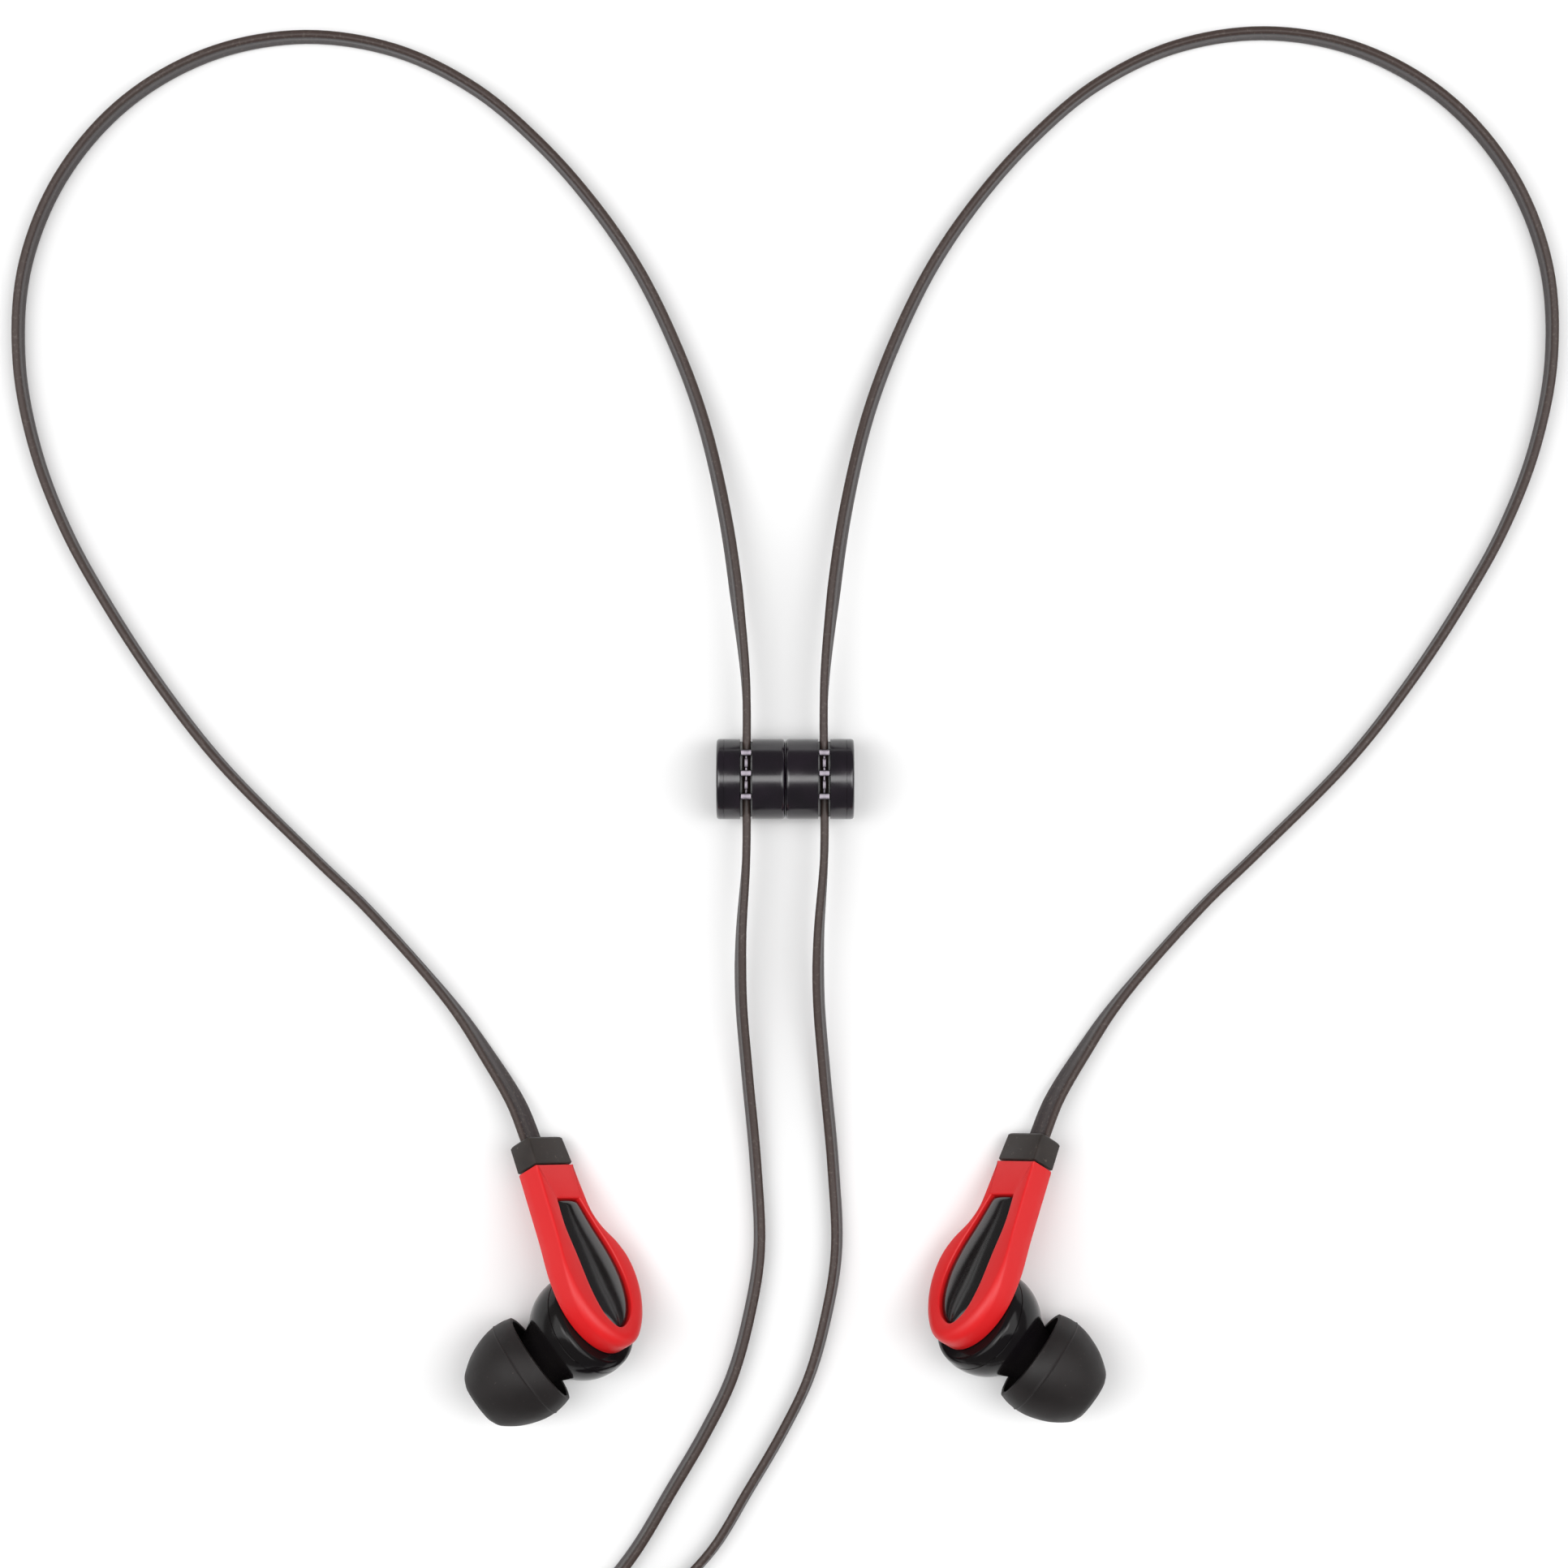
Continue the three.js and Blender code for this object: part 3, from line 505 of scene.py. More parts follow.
# ---- cables ----
# A flat cable along a path: rounded edges, and a shallow valley between its two wires.
def cableMesh(name, path, ups, look):
    high, side, radius = look["width"] / 2, look["thickness"] / 2, look["corner"]
    section = []
    for quarter in range(4):
        signUp, signSide = ((1, 1), (1, -1), (-1, -1), (-1, 1))[quarter]
        for k in range(5):
            a = math.radians(90 - 90 * quarter - 90 * k / 4)
            section.append((
                signUp * (high - radius) + radius * math.cos(a),
                signSide * (side - radius) + radius * math.sin(a),
            ))
        if signUp != signSide:
            for share in (0.6, 0.3, 0.0, -0.3, -0.6):
                depth = look["valley"] * (1 - (share / 0.8) ** 2) ** 2
                section.append((signUp * share * (high - radius), signSide * (side - depth)))
    count = len(section)
    vertices, faces, edgeHighlightShare, uvs = [], [], [], []
    walked = 0.0
    for i, point in enumerate(path):
        before, after = path[max(0, i - 1)], path[min(len(path) - 1, i + 1)]
        tangent = (after - before).normalized()
        walked += (point - path[i - 1]).length if i else 0
        sideways = tangent.cross(ups[i]).normalized()
        up = sideways.cross(tangent)
        ring = [point + up * h + sideways * s for h, s in section]
        lift = max(0, look["rest"] - min(p.z for p in ring))
        for k, p in enumerate(ring):
            vertices.append(p + zAxis * lift)
            edgeHighlightShare.append(abs(section[k][0]) / high)
            uvs.append((walked / 10, k / count))
    for i in range(len(path) - 1):
        for k in range(count):
            n = (k + 1) % count
            faces.append((i * count + k, i * count + n, (i + 1) * count + n, (i + 1) * count + k))
    faces.append(tuple(range(count)))
    faces.append(tuple(reversed(range((len(path) - 1) * count, len(path) * count))))
    data = bpy.data.meshes.new(name)
    data.from_pydata(vertices, [], faces)
    # share toward the cable's edges, the mask for the painted highlight on its edges
    attribute = data.attributes.new("acrossCable", "FLOAT", "POINT")
    attribute.data.foreach_set("value", edgeHighlightShare)
    layer = data.uv_layers.new(name="alongCable")
    for loop in data.loops:
        layer.data[loop.index].uv = uvs[loop.vertex_index]
    piece = bpy.data.objects.new(name, data)
    bpy.context.scene.collection.objects.link(piece)
    bpy.ops.object.select_all(action="DESELECT")
    piece.select_set(True)
    bpy.context.view_layer.objects.active = piece
    bpy.ops.object.mode_set(mode="EDIT")
    bpy.ops.mesh.select_all(action="SELECT")
    bpy.ops.mesh.normals_make_consistent(inside=False)
    bpy.ops.object.mode_set(mode="OBJECT")
    return piece


strandLook = {"width": 3.2, "thickness": 1.0, "corner": 0.42, "valley": 0.07, "rest": 0.02}
leadLook = {"width": 3.6, "thickness": 1.2, "corner": 0.5, "valley": 0.09, "rest": 0.02}

budEnd = [(-30.55, -7.9, 4.1), (-31.0, -7.0, 3.85), (-32.9, -2.5, 2.7)]
loopPoints = [
    (-36.7, 3.6, 1.8), (-40.8, 9.5, 1.65), (-51.3, 21.4, 1.65), (-57.5, 27.4, 1.65),
    (-69.4, 39.4, 1.65), (-76.8, 48.9, 1.65), (-83.1, 58.5, 1.65), (-88.3, 67.9, 1.65),
    (-92.1, 77.9, 1.65), (-94.1, 88.8, 1.65), (-93.4, 100.2, 1.65), (-89.0, 111.2, 1.65),
    (-81.1, 120.4, 1.65), (-70.6, 126.4, 1.65), (-59.1, 128.5, 1.65), (-47.8, 126.8, 1.65),
    (-38.0, 122.0, 1.65), (-30.2, 115.4, 1.65), (-23.8, 108.2, 1.65), (-18.4, 100.4, 1.65),
    (-14.0, 91.7, 1.8), (-10.2, 81.6, 2.5), (-7.3, 69.2, 4.0), (-5.6, 57.0, 4.9),
]
throughClasp = [(-4.75, 48.0, 5.05), (-4.75, 38.0, 5.05), (-4.75, 28.0, 5.05)]
fall = [
    (-5.4, 18.0, 4.7), (-5.4, 10.5, 3.9), (-4.7, 1.6, 2.8), (-3.6, -10.4, 1.8),
    (-3.2, -20.5, 1.65), (-4.4, -28.3, 1.65), (-6.6, -36.2, 1.65), (-9.9, -43.0, 1.65),
    (-14.0, -50.0, 1.65),
]
leftJoin = [(-18.3, -57.2, 1.65), (-23.8, -64.4, 1.65), (-28.06, -70.55, 1.65), (-28.8, -72.1, 1.8)]
rightJoin = [
    (-9.2, -57.6, 1.65), (-16.2, -64.4, 1.65), (-21.8, -68.2, 1.65), (-25.34, -71.82, 1.65),
    (-26.2, -73.4, 1.8),
]
strandPitch = 9.5
rightLift = 0.45
budOrigin = Vector((-28.05, -9.6, 5.45))
budTurn = (
    Matrix.Rotation(math.radians(20), 4, "Z")
    @ Matrix.Rotation(math.radians(-20), 4, "X")
    @ Matrix.Rotation(math.radians(54), 4, "Y")
)
budMatrix = Matrix.Translation(budOrigin) @ budTurn
rightBud = Matrix.Translation((0, rightLift, 0)) @ mirrorX

# how far the cable leans outwards on its way round the loop, in degrees
leanKeys = [
    (0, 0), (0.10, 0), (0.20, 2), (0.33, 6), (0.50, 8), (0.58, 13), (0.66, 17), (0.76, 12), (1, 10),
]


def strandUps(path, startUp, mirror):
    total = pathLength(path)
    walked = 0.0
    ups = []
    for i, point in enumerate(path):
        walked += (point - path[i - 1]).length if i else 0
        share = walked / total
        held = max(0, 1 - share / 0.07)
        high = zAxis.lerp(startUp, held * held * (3 - 2 * held))
        tangent = (path[min(i + 1, len(path) - 1)] - path[max(i - 1, 0)]).normalized()
        fromClasp = math.hypot(max(0, abs(point.x) - 4.75), abs(point.y - claspMiddle))
        loosened = min(1, max(0, (fromClasp - 9) / 14))
        lean = math.radians(interpolate(leanKeys, share)) * loosened * mirror
        left = high.cross(tangent).normalized()
        ups.append(high * math.cos(lean) + left * math.sin(lean))
    return ups


def mirrored(points):
    return [(-x, y + rightLift, z) for x, y, z in points]


def shifted(points):
    return [(x + strandPitch, y, z) for x, y, z in points]


def addStrand(side, points, join, mirror):
    path = smoothPath([*points, *join], 1.4)
    startUp = budTurn.to_3x3() @ Vector((-1, 0, 0))
    startUp.x *= mirror
    strand = cableMesh(f"{side}Cable", path, strandUps(path, startUp, mirror), strandLook)
    finishPiece(strand, toFrame, "cableJacket", setBody, [f"{side}_strand"], 60)
    print(side, "strand length in mm:", round(pathLength(path), 1))
    return strand, [toFrame @ p for p in path]


leftPoints = [*budEnd, *loopPoints, *throughClasp, *fall]
rightPoints = [*mirrored([*budEnd, *loopPoints]), *shifted([*throughClasp, *fall])]
leftStrand, leftPath = addStrand("left", leftPoints, leftJoin, 1)
rightStrand, rightPath = addStrand("right", rightPoints, rightJoin, -1)

coilLook = {
    "centre": Vector((-8, -100, 0)), "outer": 23.3, "inner": 13.4, "turns": 6,
    "lying": 1.85, "strapped": 2.6, "tieAngle": 0,
}
leadStart = [(-32.5, -83.6, 1.85), (-33.6, -86.6, 1.85), (-33.9, -90.0, 1.85)]
leadTail = [
    (-19.6, -103.2, 2.6), (-17.0, -107.8, 4.0), (-12.9, -111.0, 5.5), (-8.0, -112.0, 6.4),
    (-2.0, -112.0, 6.5), (5.0, -112.0, 6.5), (12.5, -112.0, 6.4), (17.5, -112.0, 5.6),
    (21.5, -112.0, 4.2), (24.5, -112.0, 3.4), (27.8, -112.0, 3.3),
]


def coilPoints(look):
    points = []
    steps = look["turns"] * 24
    for i in range(steps + 1):
        angle = 180 + 6 + 360 * i / 24
        radius = look["outer"] - (look["outer"] - look["inner"]) * i / steps
        fromTie = abs((angle - look["tieAngle"] + 180) % 360 - 180)
        raised = max(0, 1 - fromTie / 50) ** 2 * (3 - 2 * max(0, 1 - fromTie / 50))
        z = look["lying"] + (look["strapped"] - look["lying"]) * raised
        a = math.radians(angle)
        points.append(look["centre"] + Vector((radius * math.cos(a), radius * math.sin(a), z)))
    return points[:-1]


leadPath = smoothPath([*leadStart, *coilPoints(coilLook), *leadTail], 1.3)
lead = cableMesh("leadCable", leadPath, [zAxis] * len(leadPath), leadLook)
finishPiece(lead, toFrame, "cableJacket", setBody, ["lead_start", "lead_coil", "lead_end"], 60)
print("lead length in mm:", round(pathLength(leadPath), 1))


# ---- buds ----
def flat(points):
    return [Vector(p).to_3d() for p in points]


endSteps = 12
curveSteps = 132


# A closed outline: a straight end from the first corner to the second, and a smooth curve back.
def closedOutline(first, second, smooth):
    first, second = flat([first, second])
    end = [first.lerp(second, k / endSteps) for k in range(endSteps)]
    curve = resample(smoothPath([second, *flat(smooth), first], 0.15), count=curveSteps)
    return end + curve[:-1]


def insetOutline(points, amount, z):
    amounts = amount if isinstance(amount, list) else [amount] * len(points)
    moved = []
    for i, point in enumerate(points):
        before = (point - points[i - 1]).normalized()
        after = (points[(i + 1) % len(points)] - point).normalized()
        inBefore = Vector((-before.y, before.x, 0))
        inward = (inBefore + Vector((-after.y, after.x, 0))).normalized()
        reach = amounts[i] / max(0.5, inward.dot(inBefore))
        moved.append(Vector((point.x + inward.x * reach, point.y + inward.y * reach, z)))
    return moved


def smoothStep(value, low, high):
    t = min(1, max(0, (value - low) / (high - low)))
    return t * t * (3 - 2 * t)


shellLook = {
    "depth": 3.46, "neck": 3.25, "crisp": 0.3, "broad": 1.4, "crispTo": -10, "broadFrom": -22,
    "endEdge": 0.14, "backEdge": 0.35, "recess": 1.2, "lip": 0.2,
    "outline": [
        (-3.4, -4), (-3.6, -9), (-3.9, -14), (-3.3, -18), (-1.7, -21.0), (0.5, -22.9), (2.8, -23.6),
        (5.2, -22.9), (6.9, -21.0), (8.0, -18.4), (8.3, -15.6), (7.8, -12.7), (6.6, -10.4),
        (4.8, -8.2), (3.85, -6.2), (3.5, -3.4),
    ],
    "recessOutline": [
        (-1.65, -8), (-1.2, -12), (-0.6, -17), (0.4, -19.9), (2.1, -21.4), (4.0, -20.6),
        (5.4, -18.4), (5.85, -15.2), (5.2, -11.8), (3.7, -8),
    ],
    "recessTop": [(2.4, -4.5), (-1.5, -4.4)],
}
shellOutline = closedOutline((shellLook["neck"], 0), (-shellLook["neck"], 0), shellLook["outline"])
recessOutline = closedOutline(*shellLook["recessTop"], shellLook["recessOutline"])


def makeShell(look):
    radii = []
    for i, point in enumerate(shellOutline):
        share = smoothStep(-point.y, -look["crispTo"], -look["broadFrom"])
        onEnd = point.y > -0.05
        radii.append(look["endEdge"] if onEnd else look["crisp"] + (look["broad"] - look["crisp"]) * share)
    back, edge = -look["depth"], look["backEdge"]
    loops = [
        insetOutline(shellOutline, edge, back),
        insetOutline(shellOutline, edge * 0.3, back + edge * 0.3),
        insetOutline(shellOutline, 0.0, back + edge),
        insetOutline(shellOutline, 0.0, back * 0.62),
    ]
    for k in range(8):
        a = math.radians(90 * k / 7)
        rounded = insetOutline(shellOutline, [r * (1 - math.cos(a)) for r in radii], 0)
        for point, r in zip(rounded, radii):
            point.z = -r * (1 - math.sin(a))
        loops.append(rounded)
    for k in range(5):
        a = math.radians(90 * k / 4)
        out = look["lip"] * (1 - math.sin(a))
        loops.append(insetOutline(recessOutline, -out, -look["lip"] * (1 - math.cos(a))))
    loops.append(insetOutline(recessOutline, 0.0, -look["recess"] + 0.1))
    loops.append(insetOutline(recessOutline, 0.1, -look["recess"]))
    loops.append(insetOutline(recessOutline, 0.4, -look["recess"]))
    return extrudeLoops("budShell", loops)


inlayLook = {
    "gap": 0.1, "low": -1.15, "edge": -0.62, "dome": 0.62, "fullness": 1.3, "topEnd": 0.7, "lowEnd": 5.5,
    "sections": 90, "across": 28,
}


# A smooth crown laid over cross sections, from the straight end to the rounded tip.
def makeInlay(look):
    around = insetOutline(recessOutline, look["gap"], 0)
    lowest = min(range(len(around)), key=lambda i: around[i].y)
    count = look["sections"]
    leftSide = resample(around[endSteps:lowest + 1], count=count)
    rightSide = resample([*around[lowest:], around[0]][::-1], count=count)
    length = pathLength(leftSide)
    loops = []
    for k in range(count - 1):
        left, right = leftSide[k], rightSide[k]
        fromTop, fromTip = length * k / (count - 1), length * (1 - k / (count - 1))
        topRise = math.sqrt(max(0, 1 - (1 - min(1, fromTop / look["topEnd"])) ** 2))
        tipRise = math.sqrt(max(0, 1 - (1 - min(1, fromTip / look["lowEnd"])) ** 2))
        rise = look["dome"] * topRise * tipRise
        loop = [Vector((left.x, left.y, look["low"]))]
        for j in range(look["across"] + 1):
            turned = math.pi * j / look["across"]
            share = (1 - math.cos(turned)) / 2
            place = left.lerp(right, share)
            crown = math.sin(turned) ** look["fullness"]
            loop.append(Vector((place.x, place.y, look["edge"] + rise * crown)))
        loop.append(Vector((right.x, right.y, look["low"])))
        loops.append(loop)
    return extrudeLoops("faceInlay", loops)


ballLook = {
    "centre": Vector((2.5, -18.8, -6)), "radius": 6.6, "steps": 30, "crease": 4.8, "collar": 3.4,
    "collarEnd": 7.5, "flare": 0.28, "flareAt": 6.0, "flareRound": 0.6, "throat": 2.45, "throatFloor": 5.6,
    "top": -3.49, "edgeFrom": -4.1, "edgeSteps": 6, "seam": -5.05, "seamWidth": 0.07,
    "seamDepth": 0.985, "heading": 216.6,
}
nozzleMatrix = (
    Matrix.Translation(budMatrix @ ballLook["centre"])
    @ Matrix.Rotation(math.radians(ballLook["heading"] - 90), 4, "Z")
)


# Draws the cut face of the ball up to its top in a rounded edge that follows on from the ball.
def roundTop(look, facing):
    ballX, ballY, ballZ = look["centre"]
    slope = math.asin((look["edgeFrom"] - ballZ) / look["radius"])
    rim = look["radius"] * math.cos(slope)
    bend = (look["top"] - look["edgeFrom"]) / (1 - math.sin(slope))
    across, depth = rim, look["edgeFrom"]
    for k in range(1, look["edgeSteps"] + 1):
        a = slope + (math.pi / 2 - slope) * k / look["edgeSteps"]
        nextAcross = rim - bend * (math.cos(slope) - math.cos(a))
        nextDepth = look["edgeFrom"] + bend * (math.sin(a) - math.sin(slope))
        bpy.ops.mesh.extrude_region_move()
        bpy.ops.transform.translate(value=facing * (nextDepth - depth))
        middle = budMatrix @ Vector((ballX, ballY, nextDepth))
        bpy.ops.transform.resize(value=(nextAcross / across,) * 3, center_override=middle)
        across, depth = nextAcross, nextDepth


def makeBall(look):
    radius, crease = look["radius"], look["crease"]
    profile = []
    steps = look["steps"]
    last = math.acos(crease / radius)
    for k in range(steps + 1):
        a = math.pi - (math.pi - last) * k / steps
        profile.append((radius * math.sin(a), radius * math.cos(a)))
    waist = math.sqrt(radius ** 2 - crease ** 2)
    profile += [tuple(p) for p in roundCorners([
        (waist - 0.05, crease + 0.05), (look["collar"] + look["flare"], look["flareAt"], look["flareRound"]),
        (look["collar"], look["collarEnd"], 0.2), (look["throat"], look["collarEnd"], 0.1),
        (look["throat"], look["throatFloor"]),
    ])]
    piece = turn("driverHousing", profile, 96)
    piece.data.transform(nozzleMatrix)
    facing = budTurn.to_3x3() @ zAxis
    bpy.ops.object.mode_set(mode="EDIT")

    def cutAt(depth, **settings):
        bpy.ops.mesh.select_all(action="SELECT")
        at = budMatrix @ Vector((0, 0, depth))
        bpy.ops.mesh.bisect(plane_co=at, plane_no=facing, **settings)

    cutAt(look["edgeFrom"], use_fill=True, clear_outer=True)
    roundTop(look, facing)
    cutAt(look["seam"] + look["seamWidth"])
    cutAt(look["seam"] - look["seamWidth"])
    cutAt(look["seam"])
    middle = budMatrix @ look["centre"]
    bpy.ops.transform.resize(value=(look["seamDepth"],) * 3, center_override=middle)
    bpy.ops.object.mode_set(mode="OBJECT")
    return piece


nozzleLook = {"radius": 2.3, "bore": 1.6, "barb": 2.5, "start": 4.0, "end": 14.3}


def makeNozzle(look):
    end = look["end"]
    profile = roundCorners([
        (look["bore"], look["start"] + 0.9), (look["radius"], look["start"] + 0.9, 0.05),
        (look["radius"], end - 1.9, 0.3), (look["barb"], end - 1.35, 0.12), (look["barb"], end - 0.9, 0.2),
        (look["radius"] - 0.22, end, 0.15), (look["bore"] + 0.05, end, 0.1), (look["bore"], end - 0.25, 0.05),
        (look["bore"], look["start"] + 0.9),
    ])
    return turn("nozzle", [tuple(p) for p in profile], 64)


tipLook = {
    "rim": 6.5, "wall": 0.55, "sleeve": 2.8, "sleeveWall": 0.7, "mouth": 1.9, "partAt": 2.35, "partHigh": 0.1,
    "skin": [
        (6.05, 0.12), (6.3, 1.1), (6.41, 2.3), (6.28, 3.7), (5.86, 5.2), (5.2, 6.7), (4.3, 8.05),
        (3.62, 8.8), (2.75, 9.26),
    ],
}


def makeTip(look):
    skin = smoothPath([(r, y, 0) for r, y in look["skin"]], 0.12)
    outer = []
    for p in skin:
        ridge = look["partHigh"] * max(0, 1 - abs(p.y - look["partAt"]) / 0.13)
        outer.append((p.x + ridge, p.y))
    inner = [(p.x - look["wall"], p.y) for p in skin if p.y < 7.1]
    sleeveOut = look["sleeve"] + look["sleeveWall"]
    front = roundCorners([outer[-1], (look["mouth"], 9.3, 0.25), (look["mouth"], 8.2, 0.15),
                          (look["sleeve"], 8.15, 0.1), (look["sleeve"], 1.3, 0.2), (sleeveOut, 1.3, 0.2),
                          (sleeveOut, 7.2, 0.6), inner[-1]])
    profile = outer + [tuple(p) for p in front[1:-1]] + inner[::-1]
    rimMiddle = ((outer[0][0] + inner[0][0]) / 2, outer[0][1] - 0.12)
    profile += [rimMiddle, outer[0]]
    return turn("earTip", [(r, y + look["rim"]) for r, y in profile], 96, fill=False)


reliefLook = {
    "start": 0.2, "end": 3.8, "half": 3.25, "leftEnd": 3.15, "rightEnd": 2.9, "depth": 3.46,
    "corner": 0.28, "chamfer": 0.3, "cableAt": (-0.5, -1.73), "slot": (1.75, 0.65),
}


def roundedRectangle(left, right, low, high, corner, y, steps=5):
    loop = []
    corners = [(right - corner, high - corner, 0), (left + corner, high - corner, 90),
               (left + corner, low + corner, 180), (right - corner, low + corner, 270)]
    for x, z, start in corners:
        for k in range(steps):
            a = math.radians(start + 90 * k / (steps - 1))
            loop.append(Vector((x + corner * math.cos(a), y, z + corner * math.sin(a))))
    return loop


def makeRelief(look):
    def ring(y, trim, corner):
        share = (y - look["start"]) / (look["end"] - look["start"])
        left = -look["half"] + (look["half"] - look["leftEnd"]) * share + trim
        right = look["half"] - (look["half"] - look["rightEnd"]) * share - trim
        return roundedRectangle(left, right, -look["depth"] + trim, -trim, corner, y)

    x, z = look["cableAt"]
    wide, thin = look["slot"]
    start, end, corner, chamfer = look["start"], look["end"], look["corner"], look["chamfer"]
    loops = [
        ring(start, 0.12, corner), ring(start + 0.12, 0.0, corner), ring(1.6, 0.0, corner),
        ring(end - chamfer, 0.0, corner), ring(end - chamfer * 0.4, chamfer * 0.35, corner * 1.4),
        ring(end, chamfer, corner * 1.8),
        roundedRectangle(x - wide, x + wide, z - thin, z + thin, 0.45, end),
        roundedRectangle(x - wide, x + wide, z - thin, z + thin, 0.45, end - 0.9),
    ]
    return extrudeLoops("cableRelief", loops)


leftBudPlace = toFrame @ budMatrix
rightBudPlace = toFrame @ rightBud @ budMatrix
leftAxisPlace = toFrame @ nozzleMatrix
rightAxisPlace = toFrame @ rightBud @ nozzleMatrix
finishPair(makeShell(shellLook), leftBudPlace, rightBudPlace, "redShell", None, "budShell", 30)
finishPair(
    makeInlay(inlayLook), leftBudPlace, rightBudPlace, "inlayBlack", None, "faceInlay", 30)
finishPair(
    makeRelief(reliefLook), leftBudPlace, rightBudPlace, "reliefBlack", None, "cableRelief", 30)
finishPair(
    makeBall(ballLook), toFrame, toFrame @ rightBud, "ballBlack", None, "driverHousing", 25)
finishPair(
    makeNozzle(nozzleLook), leftAxisPlace, rightAxisPlace, "nozzleBlack", None, "nozzle")
finishPair(makeTip(tipLook), leftAxisPlace, rightAxisPlace, "siliconeBlack", "tip", "earTip", 50)
print("buds made")

# ---- clasps ----
claspLook = {
    "radius": 4.9, "gap": 0.04, "barrelEnd": 7.44, "capStart": 7.46, "end": 8.37, "rim": 0.5,
    "endRim": 0.8, "seam": 0.02,
    "slot": 1.5, "slotAt": 4.75, "slotFloor": -1.7,
}
claspMatrix = Matrix.Translation((0, claspMiddle, 4.9)) @ Matrix.Rotation(math.radians(-90), 4, "Z")


# Clasp pieces are modelled with y outwards from the meeting face, and z up.
def makeBarrel(look):
    radius, rim = look["radius"], look["rim"]
    reach = look["slot"] / 2 + 0.12
    bounds = (-reach - 0.05, -reach, reach, reach + 0.05)
    profile = roundCorners([
        (0, look["gap"]), (radius, look["gap"], rim), *[(radius, look["slotAt"] + side) for side in bounds],
        (radius, look["barrelEnd"], look["seam"]), (0, look["barrelEnd"]),
    ], steps=6)
    barrel = turn("claspBarrel", [tuple(p) for p in profile], 128)
    reach = 20
    size = (reach, look["slot"], reach)
    cutter = addBlock("slotCutter", size, (0, look["slotAt"], look["slotFloor"] + reach / 2))
    applyModifier(barrel, "BOOLEAN", object=cutter, operation="DIFFERENCE", solver="EXACT")
    bpy.data.objects.remove(cutter)
    return barrel


def makeCap(look):
    radius, seam = look["radius"], look["seam"]
    profile = roundCorners([
        (0, look["capStart"]), (radius, look["capStart"], seam), (radius, look["end"], look["endRim"]),
        (3.4, look["end"], 0.1), (3.3, look["end"] - 0.08, 0.05), (0, look["end"] - 0.08),
    ], steps=6)
    return turn("claspCap", [tuple(p) for p in profile], 128)


gripLook = {
    "rungs": [3.2, 0.7, -2.1], "rungSize": (0.72, 1.36), "recess": 0.3, "low": 2.1,
    "spine": (0.36, 0.34), "dash": (1.1, 0.5, 0.8), "edge": 0.1,
}


def makeGrip(look, clasp):
    pieces = []
    along, across = look["rungSize"]
    for place in look["rungs"]:
        top = math.sqrt(clasp["radius"] ** 2 - place ** 2) - look["recess"]
        centre = (-place, clasp["slotAt"], (top + look["low"]) / 2)
        pieces.append(addBlock("rung", (along, across, top - look["low"]), centre, look["edge"], 3))
    high, low = look["rungs"][0], look["rungs"][-1]
    wide, thick = look["spine"]
    centre = (-(high + low) / 2, clasp["slotAt"], look["low"] + thick / 2)
    pieces.append(addBlock("spine", (high - low, wide, thick), centre, look["edge"], 3))
    for upper, lower in zip(look["rungs"], look["rungs"][1:]):
        size = look["dash"]
        centre = (-(upper + lower) / 2, clasp["slotAt"], look["low"] + size[2] / 2)
        pieces.append(addBlock("dash", size, centre, look["edge"], 3))
    return joinPieces("cableGrip", pieces)


leftClasp = toFrame @ mirrorX @ claspMatrix
rightClasp = toFrame @ claspMatrix
finishPair(makeBarrel(claspLook), leftClasp, rightClasp, "claspBlack", "clasp", "claspBarrel", 30)
finishPair(makeCap(claspLook), leftClasp, rightClasp, "claspBlack", "clasp", "claspCap", 30)
finishPair(
    makeGrip(gripLook, claspLook), leftClasp, rightClasp, "rungMetal", "clasp", "cableGrip",
    40)
print("clasps made")

# ---- Y split ----
splitLook = {
    "mouthAt": (-26.85, -71.51, 0), "heading": 245, "length": 13.45, "height": 4.4, "corner": 1.0,
    "halves": [(0, 3.6), (3.2, 3.6), (8.8, 2.25), (14, 2.2)], "rounding": 0.5, "mouth": (2.9, 0.35, 3.9),
    "mouthDepth": 2.0, "stations": [1.6, 2.6, 3.6, 4.6, 5.6, 6.6, 7.6, 8.4], "ribs": [8.9, 10.1, 11.3],
    "ribWidth": 0.5, "ribDepth": 0.3, "bendAngles": (90, 67, 45, 23, 0), "endInset": 0.95,
}


# The split is modelled with y from its wide mouth to its narrow end.
def makeSplit(look):
    def ring(at, trim):
        half = interpolate(look["halves"], at) - trim
        return roundedRectangle(-half, half, trim, look["height"] - trim, look["corner"] - trim, at, 7)

    def mouth(at, trim=0.0):
        half, low, high = look["mouth"]
        return roundedRectangle(-half + trim, half - trim, low + trim, high - trim, 0.9 - trim, at, 7)

    soft, length = look["rounding"], look["length"]
    angles = [math.radians(a) for a in look["bendAngles"]]
    bend = [(1 - math.cos(a), 1 - math.sin(a)) for a in angles]
    loops = [mouth(look["mouthDepth"], 0.1), mouth(look["mouthDepth"] - 0.1), mouth(0.1)]
    loops += [ring(soft * rise, soft * trim) for trim, rise in bend]
    loops += [ring(at, 0) for at in look["stations"]]
    for at in look["ribs"]:
        deep, wide = look["ribDepth"], look["ribWidth"]
        loops += [ring(at, 0), ring(at + 0.1, deep * 0.8), ring(at + 0.16, deep),
                  ring(at + wide - 0.16, deep), ring(at + wide - 0.1, deep * 0.8), ring(at + wide, 0)]
    loops += [ring(length - soft * rise, soft * trim) for trim, rise in bend[::-1]]
    loops.append(ring(length, look["endInset"]))
    return extrudeLoops("ySplit", loops)


